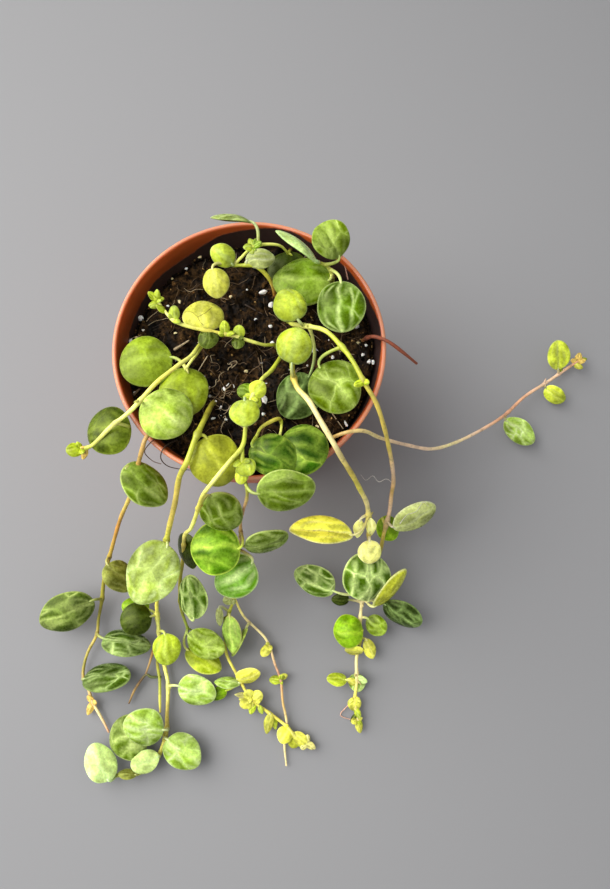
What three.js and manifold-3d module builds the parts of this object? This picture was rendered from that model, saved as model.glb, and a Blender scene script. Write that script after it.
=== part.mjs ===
// A trailing peperomia in a small terracotta-coloured nursery pot.
// Millimetres, +Z up. The origin is the middle of the pot's flat underside.
// +X is to the right and -Y to the front, where most of the stems hang over the rim
// and trail along the surface that the pot stands on.

import * as THREE from 'three';
import Module from 'manifold-3d';
import { mergeVertices } from 'three/addons/utils/BufferGeometryUtils.js';

const wasm = await Module();
wasm.setup();

// Pot
const potHeight = 50;
const rimRadius = 30;
const baseRadius = 20;
const wallThickness = 0.8;
const floorThickness = 1.2;
const lipThickness = 1.1;
const lipRounding = 0.4;
const bandHeight = 8;
const bandStep = 0.8;
const baseChamfer = 0.6;
const potSides = 48;
const drainCount = 6;
const drainRadius = 2.4;
const drainCircle = 14;
const drainSides = 12;

// Soil
const gap = 0.4;
const soilLevel = 44.5;
const soilTilt = 2.2;
const soilSides = 32;
const soilRings = 7;
const rootDepth = 41;
const holeClearance = 0.75;
const holeSides = 8;

// The waves that add up to the soil's lumps: height, radians per mm along X and along Y,
// and phase.
const soilWaves = [
  [0.25, 0.55, 0.6, 1],
  [0.2, 0.55, -0.6, 1],
  [0.3, 1.1, -0.7, 2],
  [0.25, 0.4, 1.3, 1.6],
];

// Stems and petioles. A petiole enters its blade at a share of the blade's length behind
// its middle, a little above the underside.
const stemSides = 5;
const stemStep = 5.5;
const fewestSteps = 3;
const petioleRadius = 0.48;
const petioleSides = 3;
const petioleSteps = 2;
const petioleEntry = 0.4;
const petioleLift = 0.04;
const petioleBend = 0.5;

// Blades. Thickness and doming are shares of the width.
const bladeThickness = 0.14;
const thinnestBlade = 0.8;
const bladeDome = 0.11;
const bladeRings = 3;
const bladeTip = 0.07;
const bladeTipPower = 6;
const bladeBase = 0.05;
const bladeBasePower = 4;
const stalklessLength = 4.5;

// A blade longer than the first number has the second number of sides.
const bladeSides = [[7, 12], [4.5, 10], [0, 8]];

const degree = Math.PI / 180;
const mergeDistance = 1e-4;

// The outside of the tapered wall narrows evenly from under the rim band to the base, and
// the inside from the lip to the floor.
const bandBottom = potHeight - bandHeight;
const wallSlope = (rimRadius - 2 * bandStep - baseRadius) / bandBottom;
const innerTop = rimRadius - lipThickness;
const innerBase = baseRadius - wallThickness;
const innerHeight = potHeight - lipRounding - floorThickness;

const potFinish = { color: 0xb5603c, roughness: 0.55 };
const soilFinish = { color: 0x2a211b, roughness: 0.95 };
const limeFinish = { color: 0xb6cf52, roughness: 0.45 };
const greenFinish = { color: 0x6f9a35, roughness: 0.45 };
const darkFinish = { color: 0x4d7338, roughness: 0.45 };
const dryFinish = { color: 0x7d5a3a, roughness: 0.8 };

// Each leafy stem is a plant part of its own. A line is a radius and the points that it
// runs through, and one that starts at rootDepth stands in the soil. A leaf is
// [x, y, z of its middle, heading, pitch, roll, length, width, fold, plumpness]:
// heading 0 points along +X and 90 along +Y, pitch lifts the tip, roll lifts the left half,
// fold creases the blade along its midrib, and plumpness is its thickness over its width
// where it is plumper than the others.
const leafyStems = {
  stem_left: {
    finish: limeFinish,
    lines: [
      [0.6, [
        [-10.5, 2, 41], [-10.5, 2, 47], [-12, -3.5, 53], [-14.5, -7, 56], [-18.5, -11, 57],
        [-23.5, -16.5, 56], [-28, -19.5, 54], [-32.5, -22.5, 50.5], [-35.5, -23, 48.5],
      ]],
      [0.5, [[-10.5, 2, 46], [-11.3, -1.5, 49.3], [-12.5, -4, 50.6], [-13.5, -5.5, 50.3]]],
    ],
    leaves: [
      [-22, -4, 50.5, 192, 4, 0, 11.5, 11.5],
      [-14, -10, 48.5, 268, -8, -10, 10.8, 10.6],
      [-17, -16.5, 53.5, -25, 0, 0, 11.4, 11.2],
      [-29, -19.5, 50.5, 185, -12, 0, 10.2, 10.4],
      [-36.5, -22.8, 48.5, 190, 20, 0, 3.4, 3.2],
      [-34, -24.6, 48.3, 250, -20, 0, 2.8, 1.6],
    ],
  },
  stem_back_left: {
    finish: limeFinish,
    lines: [
      [0.5, [
        [5.5, 1.5, 41], [5.5, 1.5, 46], [3, 0.5, 49], [-1, 1, 51], [-4, 1.5, 52],
        [-8, 2, 53], [-12, 2.5, 54], [-15.5, 3.5, 55], [-18, 6, 55.5], [-19.3, 7.8, 56],
      ]],
    ],
    leaves: [
      [-10, 6.2, 51, 100, -6, 8, 7.6, 9],
      [-9, 0, 51.8, 262, -5, 0, 4.2, 4.4],
      [-15.3, 5.8, 54.3, 80, 30, 0, 3.4, 2.4],
      [-5, 3.8, 53.5, 95, 20, 0, 3.2, 2.2],
      [-1.5, 2.6, 53.6, 90, 10, 0, 3, 2.8],
      [-1.6, 0, 53.4, 265, 10, 0, 3, 2.8],
      [-20.2, 8.8, 56, 140, 30, 0, 2.8, 1.6],
      [-18.6, 9.2, 56.3, 85, 40, 0, 2.6, 1.5],
      [-20.3, 7.2, 55.5, 200, 0, 0, 2.4, 1.5],
    ],
  },
  stem_back: {
    finish: limeFinish,
    lines: [
      [0.6, [
        [5.2, 14.6, 41], [5.2, 14.6, 46], [4.3, 15.6, 50], [2.5, 16.5, 53], [0.5, 17, 54],
        [-2, 17, 54], [-3.5, 17, 54],
      ]],
      [0.45, [
        [-3.5, 17, 54], [-1.5, 18.5, 55], [0.5, 20, 56], [3, 21, 55.8], [6.5, 21.8, 54],
        [8.5, 21.5, 51],
      ]],
    ],
    leaves: [
      [-7, 12.5, 55, -75, -8, 10, 6.8, 5.8],
      [-5.5, 18.5, 55.5, 140, 15, -25, 5.8, 5],
      [2.3, 18, 55, 3, 5, 40, 6.6, 4.4],
      [-3.5, 25.5, 58, 176, 5, 62, 8.6, 7.6],
      [0, 20.6, 57, 200, 30, 0, 2.6, 2],
      [1.6, 20.6, 57.2, 20, 30, 0, 2.4, 1.8],
      [8.5, 18.6, 47.2, 265, -12, 0, 10.4, 9.6],
    ],
  },
  stem_back_right: {
    finish: greenFinish,
    lines: [
      [0.5, [
        [18.6, 16.6, 41], [18.6, 16.6, 46.5], [18.2, 16.4, 51], [17, 16.8, 54], [15.2, 17.2, 55],
      ]],
    ],
    leaves: [
      [20, 7.5, 54, -90, -6, 0, 11.2, 10.8],
      [12, 14.5, 51, 180, 0, 0, 12.6, 11.6],
      [10.5, 19, 58, 142, 6, 66, 10.8, 9.6],
      [17.5, 20.6, 57.5, 125, 12, 0, 8.2, 8.6, 0.6],
    ],
  },
  stem_right: {
    finish: greenFinish,
    lines: [
      [0.65, [
        [8.5, 7.5, 41], [8.5, 7.5, 46], [9.5, 4.5, 51], [13, 2.5, 54.5], [16.5, 0.5, 57],
        [19.5, -3, 58], [22, -6.5, 58], [24.5, -11, 57], [27, -14.5, 54.5], [29, -18, 49.5],
        [30.5, -20.5, 43.5], [32, -23.5, 37], [33, -26.5, 31], [33, -29, 26],
        [33, -32.5, 20.5], [32, -37.5, 15], [31.5, -41, 12], [31, -43.5, 10.5],
      ]],
    ],
    leaves: [
      [9, 6.5, 56, 118, 0, 0, 7.8, 7, 0, 0.4],
      [18.5, -10.5, 53.5, -50, -4, 0, 11.4, 11.6],
      [10.8, -10.8, 47.8, 240, -8, 8, 10.6, 10],
      [23.6, -10.8, 56, 215, 20, 0, 2.8, 1.7],
      [33.2, -35.5, 14, -60, -20, 0, 6.6, 6.2],
      [39, -33.5, 20, 26, 6, 50, 12, 8.4],
    ],
  },
  stem_front_right: {
    finish: greenFinish,
    lines: [
      [0.75, [
        [9.5, -1.8, 41], [9.5, -1.8, 46], [9.5, -6, 51], [10.5, -11, 54.5], [13, -14.5, 56],
        [15.5, -19, 56], [18, -23, 54.5], [20, -25.5, 50.5], [22.5, -28, 45], [24.5, -30, 39],
        [26.5, -32, 32], [27.5, -35, 25], [28, -39, 18],
      ]],
      [0.55, [
        [28, -39, 18], [28, -46, 11], [27, -53, 7], [26.5, -58, 5], [26.5, -63.5, 3.5],
        [25.5, -68, 3], [25.5, -73, 3.4], [25, -78, 2.4], [25.5, -82, 2], [26, -84.5, 2],
      ]],
    ],
    leaves: [
      [10, -3, 57, 82, 4, 0, 8, 7.6, 0, 0.4],
      [16.4, -38.5, 28, 174, -4, 24, 15, 7.8, 0.5],
      [25, -37, 26, -95, -50, 0, 5.8, 2.8],
      [28, -36.5, 25, -80, -50, 0, 5.6, 2.6],
      [28, -42, 20, -90, -10, 0, 5.8, 5.8],
      [27.5, -48, 15, 97, 22, 0, 12.6, 12],
      [15, -48.5, 10, 152, 0, -30, 11.4, 8.2],
      [21.5, -53, 6, 180, 0, -30, 4.6, 3.6],
      [33.5, -50.5, 11.5, 49, 12, 66, 12.2, 8.6],
      [37, -56.5, 7.5, -30, -4, 48, 10.6, 8.4],
      [23.5, -61, 5.5, 182, -10, 0, 7.6, 8.6],
      [30.5, -59.5, 5.5, -40, 0, 15, 6, 5.2],
      [28.8, -65.3, 4, -72, -10, 0, 5.2, 3.4],
      [25, -65.8, 4.2, 178, 0, -50, 5, 3.6],
      [20.5, -73, 3.5, 176, 0, 30, 5.2, 3.8],
      [25.6, -73.8, 1.8, -80, 0, 0, 4.6, 4.4],
      [25, -79.5, 3.6, -95, -10, 0, 3.6, 3.5],
      [26, -84.4, 2.4, -80, 0, 0, 3.4, 2],
    ],
  },
  stem_front: {
    finish: greenFinish,
    lines: [
      [0.6, [
        [7, -0.8, 41], [7, -0.8, 45.5], [5, -5.5, 49.5], [3, -8.5, 52], [1.5, -12, 53.5],
        [0.3, -16, 54], [0, -19.5, 55], [-0.5, -24, 55.8], [-3, -27.3, 56.2],
        [-7, -31.7, 54], [-9.3, -33.5, 49.5], [-11, -35.5, 43.5], [-13.3, -38.3, 36.5],
        [-15.5, -39.5, 31.5], [-17, -43.5, 23], [-19, -49, 14], [-19.5, -55, 8],
        [-18, -60.5, 5],
      ]],
      [0.5, [
        [-0.5, -24, 55.8], [-0.5, -29, 54], [0, -31.5, 48.5], [-0.5, -33, 43],
        [-1.5, -34.5, 38.5], [-2.5, -36.5, 33.5], [-3, -40, 27], [-4.5, -45, 17],
        [-6, -52.5, 8], [-8, -58, 4.5], [-8.5, -63, 3.5], [-8, -67, 3], [-5.5, -71.5, 3],
        [-3.5, -75, 3], [-1.5, -78, 3], [2, -80.5, 2.5], [7, -84, 2.5], [10, -87, 2.5],
        [13.5, -89, 2],
      ]],
      [0.42, [
        [-6, -52.5, 8], [-3.5, -57.5, 4.5], [2, -63, 2.5], [4.5, -69.5, 2], [6, -73.5, 2],
        [6.5, -78.5, 2], [7.5, -83.5, 1.8], [7, -89, 1], [7.5, -94, 1],
      ]],
    ],
    leaves: [
      [1.5, -10.5, 57, 60, 0, 0, 4.2, 4.2],
      [-1, -11.5, 52.5, 170, 0, 0, 4, 3.6],
      [1.8, -13.2, 56, -60, 0, 0, 3, 2.4],
      [0, -17.5, 58, -88, 0, 0, 5.6, 6.4],
      [2, -29, 57, -60, 0, 0, 3.8, 4.2],
      [-2, -29.4, 53.2, -100, -10, 0, 3.2, 2.8],
      [8, -32.8, 53.8, 8, -4, 24, 12.2, 8.6],
      [-6.3, -35, 40, -58, -35, 20, 10.4, 9.4],
      [-8, -42.5, 32, 180, 0, -8, 11.2, 12.2],
      [-4, -48, 23, 218, -10, 0, 10.8, 10.6],
      [3, -40.5, 29, 15, -5, 60, 10.6, 8.2],
      [-15.5, -42, 25, -80, -20, 50, 9, 8],
      [-15.5, -53, 15, 95, 20, -30, 11.2, 8.8],
      [-13.2, -64, 7, -25, 6, 15, 10.4, 7.6],
      [-14, -68, 4.5, -28, 0, -30, 10.4, 7],
      [-6.5, -61.5, 6.5, -85, -10, 30, 9.4, 6],
      [-4.5, -63.5, 5, -118, -5, 70, 8, 5.6],
      [-8.5, -54, 9, 200, 10, 0, 3.2, 2.6],
      [-9.8, -57.2, 6, -84, 0, 40, 4.8, 3],
      [-11.4, -58.2, 5.4, -100, 0, 0, 3.2, 1.8],
      [-2.5, -72, 4.5, 15, 10, 30, 6.4, 4.6],
      [-7.5, -73.8, 3.6, 175, 0, 45, 6.6, 4],
      [-10, -76.5, 2.6, 200, 0, 0, 4.8, 3.4],
      [-2.6, -79, 4.2, 200, 20, 0, 3.6, 3.2],
      [-0.2, -77.6, 4.6, 40, 20, 0, 3.8, 3.2],
      [-5.2, -79.4, 2.6, 190, 0, 0, 3, 1.8],
      [3, -83.5, 3, -100, 0, 0, 5, 2.6],
      [8, -85.5, 4.4, -120, 10, 0, 4.2, 4.2],
      [9.8, -88.2, 3.2, -30, 0, 0, 4.4, 3],
      [1.3, -66.5, 2.8, -60, 0, 20, 3.6, 2.8],
      [3.6, -73.4, 2.6, 180, 0, 20, 3.2, 2.4],
      [13.6, -89.2, 2.2, -30, 0, 0, 2.8, 1.8],
    ],
  },
  stem_front_left: {
    finish: greenFinish,
    lines: [
      [0.8, [
        [-8, -12, 41], [-8, -12, 46], [-9, -17.5, 52], [-10.5, -22.5, 54.2], [-12, -27, 54],
        [-14, -29.5, 50.5], [-16, -33.5, 43], [-18.5, -38, 35], [-21, -43.5, 27],
        [-23.5, -50, 18], [-25, -54.5, 12],
      ]],
      [0.65, [
        [-25, -54.5, 12], [-25.5, -58.5, 7], [-25, -65.5, 3.5], [-24, -70, 2.5],
        [-23, -74.5, 2.2], [-23, -81.5, 2], [-23, -86, 2], [-24.5, -91, 2],
        [-27, -94.5, 2], [-32, -96, 2], [-35, -96, 2.5],
      ]],
      [0.5, [[-25.2, -62, 5], [-26, -68.5, 2.5], [-25.3, -73, 2], [-25, -78, 2], [-24.6, -81, 3]]],
      [0.45, [[-25, -72.5, 2], [-27.5, -72.5, 2], [-29, -72, 2], [-31.5, -75.5, 2], [-33, -79, 1.5]]],
      [0.45, [[-27, -65.5, 3], [-28, -69, 2.4], [-29, -72, 2]]],
    ],
    leaves: [
      [-6.5, -26, 52, -70, -10, 0, 10.6, 10.8],
      [-22.5, -47.5, 31, -122, -10, 0, 15, 12.2],
      [-30.5, -58, 9, 190, 0, 0, 8.2, 8],
      [-31.5, -55, 5.5, 170, 0, 10, 7, 6],
      [-22.8, -65.2, 7.5, -82, 0, 0, 7.6, 7.4],
      [-15.5, -75.5, 4.5, -14, 0, 12, 9.8, 7.8],
      [-27.5, -84, 7, 172, 6, -10, 10.2, 9],
      [-32, -87, 3.5, 200, 0, 0, 9.6, 11],
      [-18.5, -90, 4.5, -37, 0, 0, 10.2, 8.4],
      [-27.5, -92.5, 4.2, 200, 0, 0, 7.2, 5.6],
      [-38.5, -93, 4.6, 118, 0, 8, 9.6, 7.8],
      [-32, -95.6, 3.4, 175, 0, 30, 4.6, 2.8],
    ],
  },
  stem_far_left: {
    finish: darkFinish,
    lines: [
      [0.65, [
        [-17.5, -15, 41], [-17.5, -15, 45.5], [-19.5, -18.7, 50.3], [-21, -21.5, 52.3],
        [-22, -23.8, 51], [-23.8, -26, 46], [-26, -28.5, 39], [-28.5, -31, 32.5],
        [-31.5, -33.7, 26], [-33.5, -36.2, 21.5], [-36, -40, 15.5], [-38, -44, 11.5],
        [-39.5, -48, 8.5], [-40.5, -53, 5.5], [-41.5, -58, 4],
      ]],
      [0.5, [
        [-41.5, -58, 4], [-42, -62, 3], [-44, -66, 2.5], [-45, -69.5, 2], [-45, -72.5, 2],
        [-43.5, -75.5, 2], [-42, -79, 1.8], [-39.5, -83, 1.5], [-37.8, -86, 1.2],
      ]],
    ],
    leaves: [
      [-22.5, -30, 45.5, -38, -18, -8, 11.6, 8.4],
      [-34.5, -47.5, 14, -45, -15, -20, 8.6, 7.6],
      [-48.5, -56, 7.5, 204, -6, -15, 14.6, 10],
      [-34, -64, 5.5, -10, 0, -42, 12.2, 8.8],
      [-38.5, -72.5, 4.8, 5, 0, -38, 12, 8.8],
      [-43.8, -80.8, 1.8, -110, 0, 0, 3.6, 2],
    ],
  },
  leaf_pair: {
    finish: darkFinish,
    lines: [
      [0.55, [
        [7, -16.4, 41], [7, -16.4, 47], [6.5, -16.8, 50.5], [5, -18, 52.5],
        [3, -19.5, 53], [2, -21.5, 52.8],
      ]],
      [0.45, [[7, -16.4, 47], [7.2, -17.2, 49.5], [7.2, -19, 51.2], [6.9, -20.8, 51.4]]],
    ],
    leaves: [
      [5.6, -25.4, 53.2, -22, 0, 12, 10.3, 9],
      [11.6, -24, 52.2, -20, 6, 0, 10.6, 11.2],
    ],
  },
  runner_right: {
    finish: limeFinish,
    lines: [
      [0.55, [
        [17, -20, 41], [17, -20, 46], [18, -20.8, 50], [19.8, -20.6, 52.3], [22, -20.1, 52.5],
        [25, -19.5, 50.3], [29, -19.3, 43.5], [36, -19, 35.5], [43, -18, 27.5],
        [50.5, -14.5, 20], [59.5, -9, 13], [66.5, -4, 8.5], [73, 2, 5.5], [80.5, 7, 4],
        [85.5, 10.5, 3.5], [89.5, 13, 4],
      ]],
    ],
    leaves: [
      [82.5, 13.5, 7, 100, 35, 0, 8.4, 6.6, 0.3],
      [82, 3.5, 3.6, -35, -5, 45, 6.6, 5, 0.4],
      [71, -7.5, 4.5, -38, -5, 20, 9.8, 6.6],
      [89.3, 13.8, 5, 80, 30, 0, 2.8, 2],
      [90.6, 13.3, 4.3, 15, 0, 0, 2.6, 1.6],
    ],
  },
  dry_stalk: {
    finish: dryFinish,
    lines: [
      [0.4, [
        [25, 2.5, 41], [25, 2.5, 46], [26.8, 1.8, 50.5], [29, 0.8, 51.6], [31, -0.2, 51.3],
        [34, -1.8, 49.5], [37, -3, 46.5],
      ]],
    ],
    leaves: [],
  },
};

// Solids ------------------------------------------------------------------------------

function toSolid(geometry) {
  const plain = geometry.clone();
  plain.deleteAttribute('normal');
  plain.deleteAttribute('uv');
  const merged = mergeVertices(plain, mergeDistance);
  return new wasm.Manifold(new wasm.Mesh({
    numProp: 3,
    vertProperties: new Float32Array(merged.attributes.position.array),
    triVerts: new Uint32Array(merged.index.array),
  }));
}

// Fusing can seal a tiny hollow between two pieces: it is filled, so one body is left.
function outerBody(solid) {
  const bodies = solid.decompose();
  return bodies.reduce((best, body) => (body.volume() > best.volume() ? body : best));
}

function toGeometry(solid) {
  const mesh = solid.getMesh();
  const geometry = new THREE.BufferGeometry();
  geometry.setAttribute('position', new THREE.BufferAttribute(mesh.vertProperties, 3));
  geometry.setIndex(new THREE.BufferAttribute(mesh.triVerts, 1));
  geometry.computeVertexNormals();
  return geometry;
}

function uprightCylinder(x, y, radius, bottom, top, sides) {
  const cylinder = new THREE.CylinderGeometry(radius, radius, top - bottom, sides);
  cylinder.rotateX(90 * degree);
  cylinder.translate(x, y, (top + bottom) / 2);
  return toSolid(cylinder);
}

function revolved(profile, sides) {
  const points = profile.map(([radius, height]) => new THREE.Vector2(radius, height));
  return new THREE.LatheGeometry(points, sides).rotateX(90 * degree);
}

// Pot and soil ------------------------------------------------------------------------

function innerRadius(height) {
  return innerBase + (innerTop - innerBase) * (height - floorThickness) / innerHeight;
}

function potProfile() {
  return [
    [0, 0],
    [baseRadius - baseChamfer, 0],
    [baseRadius, baseChamfer],
    [baseRadius + wallSlope * bandBottom, bandBottom],
    [rimRadius - bandStep, bandBottom + lipRounding],
    [rimRadius, potHeight - lipRounding],
    [rimRadius - lipRounding, potHeight],
    [innerTop, potHeight - lipRounding],
    [innerBase, floorThickness],
    [0, floorThickness],
  ];
}

function buildPot() {
  let pot = toSolid(revolved(potProfile(), potSides));
  for (let i = 0; i < drainCount; i += 1) {
    const angle = i * 2 * Math.PI / drainCount;
    const x = drainCircle * Math.cos(angle);
    const y = drainCircle * Math.sin(angle);
    const hole = uprightCylinder(x, y, drainRadius, -floorThickness, 2 * floorThickness, drainSides);
    pot = pot.subtract(hole);
  }
  return pot;
}

// The compost lies lower at the back left and is lumpy all over.
function soilHeight(x, y) {
  const slope = soilTilt * (x - y) / (Math.SQRT2 * rimRadius);
  return soilWaves.reduce((height, [size, alongX, alongY, phase]) => (
    height + size * Math.sin(alongX * x + alongY * y + phase)), soilLevel + slope);
}

function soilProfile() {
  const bottom = floorThickness + gap;
  const edge = innerRadius(soilLevel) - gap;
  const profile = [[0, bottom], [innerRadius(bottom) - gap, bottom]];
  for (let ring = soilRings; ring >= 0; ring -= 1) {
    profile.push([edge * ring / soilRings, soilLevel]);
  }
  return profile;
}

// The flat top is lifted to the soil's height, and its edge follows the slanting wall.
function soilBody() {
  const geometry = revolved(soilProfile(), soilSides);
  const place = geometry.attributes.position;
  const edge = innerRadius(soilLevel) - gap;
  for (let i = 0; i < place.count; i += 1) {
    if (place.getZ(i) < soilLevel / 2) continue;
    const x = place.getX(i);
    const y = place.getY(i);
    const height = soilHeight(x, y);
    const share = Math.hypot(x, y) / edge;
    const stretch = share > 1 - 1 / (2 * soilRings) ? (innerRadius(height) - gap) / edge : 1;
    place.setXYZ(i, x * stretch, y * stretch, height);
  }
  return toSolid(geometry);
}

function buildSoil() {
  let soil = soilBody();
  for (const { lines } of Object.values(leafyStems)) {
    for (const [radius, points] of lines) {
      const [x, y, z] = points[0];
      if (z !== rootDepth) continue;
      const holeRadius = radius + holeClearance;
      soil = soil.subtract(uprightCylinder(x, y, holeRadius, z - gap, potHeight, holeSides));
    }
  }
  return soil;
}

// Leaves and stems --------------------------------------------------------------------

function roundSection(radius, sides) {
  const section = new THREE.Shape();
  for (let i = 0; i < sides; i += 1) {
    const angle = i * 2 * Math.PI / sides;
    const x = radius * Math.cos(angle);
    const y = radius * Math.sin(angle);
    if (i === 0) section.moveTo(x, y);
    else section.lineTo(x, y);
  }
  section.closePath();
  return section;
}

function tube(curve, radius, sides, steps) {
  const options = { extrudePath: curve, steps, bevelEnabled: false };
  return toSolid(new THREE.ExtrudeGeometry(roundSection(radius, sides), options));
}

function stemCurve(points) {
  const places = points.map((point) => new THREE.Vector3(...point));
  return new THREE.CatmullRomCurve3(places, false, 'catmullrom');
}

// A blade's outline is nearly round, a little pointed at the tip and flat at the base.
function outline(angle) {
  const along = Math.cos(angle);
  if (along > 0) return 1 + bladeTip * along ** bladeTipPower;
  return 1 - bladeBase * along ** bladeBasePower;
}

function bladeFrame([x, y, z, heading, pitch, roll]) {
  const frame = new THREE.Matrix4().makeTranslation(x, y, z);
  frame.multiply(new THREE.Matrix4().makeRotationZ(heading * degree));
  frame.multiply(new THREE.Matrix4().makeRotationY(-pitch * degree));
  frame.multiply(new THREE.Matrix4().makeRotationX(roll * degree));
  return frame;
}

function blade(leaf) {
  const [, , , , , , length, width, fold = 0, plumpness = bladeThickness] = leaf;
  const half = Math.max(thinnestBlade, plumpness * width) / 2;
  const [, sides] = bladeSides.find(([least]) => length > least);
  const sphere = new THREE.SphereGeometry(1, sides, bladeRings);
  sphere.rotateX(90 * degree);
  const place = sphere.attributes.position;
  const widest = Math.sin(180 * degree / bladeRings);
  for (let i = 0; i < place.count; i += 1) {
    const x = place.getX(i) / widest;
    const y = place.getY(i) / widest;
    const reach = outline(Math.atan2(y, x));
    const across = reach * y * width / 2;
    const rise = bladeDome * width * (1 - x * x - y * y) + fold * Math.abs(across);
    place.setXYZ(i, reach * x * length / 2, across, half * place.getZ(i) + rise);
  }
  return toSolid(sphere.applyMatrix4(bladeFrame(leaf)));
}

// The tube runs straight between its steps, so the middles are taken on those straights.
function withMiddles(places) {
  const middles = places.slice(1).map((place, i) => place.clone().lerp(places[i], 0.5));
  return places.concat(middles);
}

function nearest(places, target) {
  return places.reduce((best, place) => (
    place.distanceTo(target) < best.distanceTo(target) ? place : best));
}

// A small young leaf sits on the stem itself. A grown one has a petiole, which leaves the
// nearest point of the stem and runs into the base of the blade.
function leafSolids(leaf, stemPlaces) {
  const [, , , , , , length, width] = leaf;
  const frame = bladeFrame(leaf);
  const base = new THREE.Vector3(-petioleEntry * length, 0, petioleLift * width);
  base.applyMatrix4(frame);
  const start = nearest(stemPlaces, base);
  const reach = base.distanceTo(start);
  const whole = blade(leaf);
  if (length < stalklessLength) return [whole.translate(start.sub(base).toArray())];
  if (reach < petioleRadius) return [whole];
  const ahead = new THREE.Vector3().setFromMatrixColumn(frame, 0);
  const bend = base.clone().addScaledVector(ahead, -petioleBend * reach);
  const curve = new THREE.QuadraticBezierCurve3(start, bend, base);
  return [tube(curve, petioleRadius, petioleSides, petioleSteps), whole];
}

function buildLeafyStem(lines, leaves) {
  const solids = [];
  const stemPlaces = [];
  for (const [radius, points] of lines) {
    const curve = stemCurve(points);
    const steps = Math.max(fewestSteps, Math.round(curve.getLength() / stemStep));
    solids.push(tube(curve, radius, stemSides, steps));
    stemPlaces.push(...withMiddles(curve.getSpacedPoints(steps)));
  }
  for (const leaf of leaves) solids.push(...leafSolids(leaf, stemPlaces));
  return outerBody(solids.reduce((whole, solid) => whole.add(solid)));
}

// Assembly ----------------------------------------------------------------------------

function piece(name, solid, { color, roughness }) {
  const material = new THREE.MeshStandardMaterial({ color, roughness, metalness: 0 });
  const mesh = new THREE.Mesh(toGeometry(solid), material);
  mesh.name = name;
  return mesh;
}

const plant = new THREE.Group();
plant.add(piece('pot', buildPot(), potFinish));
plant.add(piece('soil', buildSoil(), soilFinish));
for (const [name, { finish, lines, leaves }] of Object.entries(leafyStems)) {
  plant.add(piece(name, buildLeafyStem(lines, leaves), finish));
}

export default plant;
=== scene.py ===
"""Looks for a small potted trailing peperomia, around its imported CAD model.

Sizes are in millimetres, as in the CAD model, whose stems and leaves LEAFY_STEMS repeats;
only the materials, floor and lights are in metres. Two pieces stand for each leafy stem: its
stems with their petioles, and its leaves.
"""
import math

import bmesh
import bpy
import numpy as np
from mathutils import Matrix, Vector


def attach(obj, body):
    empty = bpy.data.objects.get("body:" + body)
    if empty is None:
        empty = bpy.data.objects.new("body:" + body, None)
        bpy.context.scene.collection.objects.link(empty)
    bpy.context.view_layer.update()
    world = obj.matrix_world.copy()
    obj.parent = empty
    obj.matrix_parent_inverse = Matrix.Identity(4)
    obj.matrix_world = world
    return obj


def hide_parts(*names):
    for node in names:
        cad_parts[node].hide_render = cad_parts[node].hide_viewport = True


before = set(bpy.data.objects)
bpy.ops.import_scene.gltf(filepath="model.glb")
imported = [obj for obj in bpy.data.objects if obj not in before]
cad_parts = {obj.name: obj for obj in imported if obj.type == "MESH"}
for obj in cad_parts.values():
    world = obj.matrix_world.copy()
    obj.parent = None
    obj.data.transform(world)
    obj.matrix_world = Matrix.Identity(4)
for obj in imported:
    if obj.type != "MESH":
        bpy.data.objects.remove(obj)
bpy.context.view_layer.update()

MM = 0.001

# The photo's camera, fitted to the pot's rim: place, angle below the horizon, focal length
# and picture height in pixels
CAMERA_PLACE = (12.21, -59.34, 204.22)
CAMERA_LIFT = 76.5
FOCAL_PIXELS = 750
PHOTO_HEIGHT = 889

# Pot and soil, as in the CAD model
POT_HEIGHT = 50
RIM_RADIUS = 30
BASE_RADIUS = 20
FLOOR = 1.2
BAND_BOTTOM = 42
LIP_BOTTOM = 48.9
INNER_TOP = 28.9
INNER_BASE = 19.2
INNER_HEIGHT = POT_HEIGHT - 0.4 - FLOOR
DRAIN_COUNT = 6
DRAIN_RADIUS = 2.4
DRAIN_CIRCLE = 14
SOIL_LEVEL = 44.5
SOIL_TILT = 2.2
SOIL_WAVES = [(0.25, 0.55, 0.6, 1), (0.2, 0.55, -0.6, 1), (0.3, 1.1, -0.7, 2),
              (0.25, 0.4, 1.3, 1.6)]

# What lies on the soil: how far from its middle, and how many pieces
LOOSE_REACH = 27.2
WALL_REACH = 27.3
ROOT_START = 26.5
ROOT_REACH = 27.4
TANGLE_MIDDLE = (-5.5, -8)
TANGLE_SPREAD = (2.6, 4.5)
CRUMB_COUNT = 2300
BIG_CRUMB_COUNT = 110
CRUMB_TINTS = ("120c06", "1f160a", "322410", "523a1e", "18110a", "8c6e40")
CRUMB_SHARES = (0.26, 0.22, 0.22, 0.15, 0.1, 0.05)
STRAY_GRAIN_COUNT = 30
ROOT_COUNT = 230
TANGLE_COUNT = 42

# Colours, as six hexadecimal digits like all the others
POT_ORANGE = "d0622a"
# The lip's painted highlight: its rounded top is drawn paler, where light falls on it
LIP_HIGHLIGHT_ORANGE = "d08a68"
STAIN_BROWN = "2a1009"
SOIL_BROWN = "281b0c"
PERLITE_WHITE = "f2efe8"
PERLITE_WARM = "e2d09c"
CRACK_BROWN = "5a4520"
FLOOR_GREY = "858587"

# How finely the pot and the soil are divided
POT_SIDES = 180
SOIL_SIDES = 260
SOIL_RINGS = 95

# Stems: colours in the order that they follow each other along a line
STEM_COLOURS = {
    "lime": "b9c23c", "yellow": "e4d858", "pale": "eeee80", "orange": "c98f40",
    "tan": "c7a25c", "pink": "d9a27c", "brown": "745735", "ochre": "b79a40",
    "olive": "948c2c", "cream": "f4e2a0", "green": "7e9030", "dark": "545e26",
    "rust": "84432a", "straw": "d2bc58", "blush": "eccaa8",
}

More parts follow.
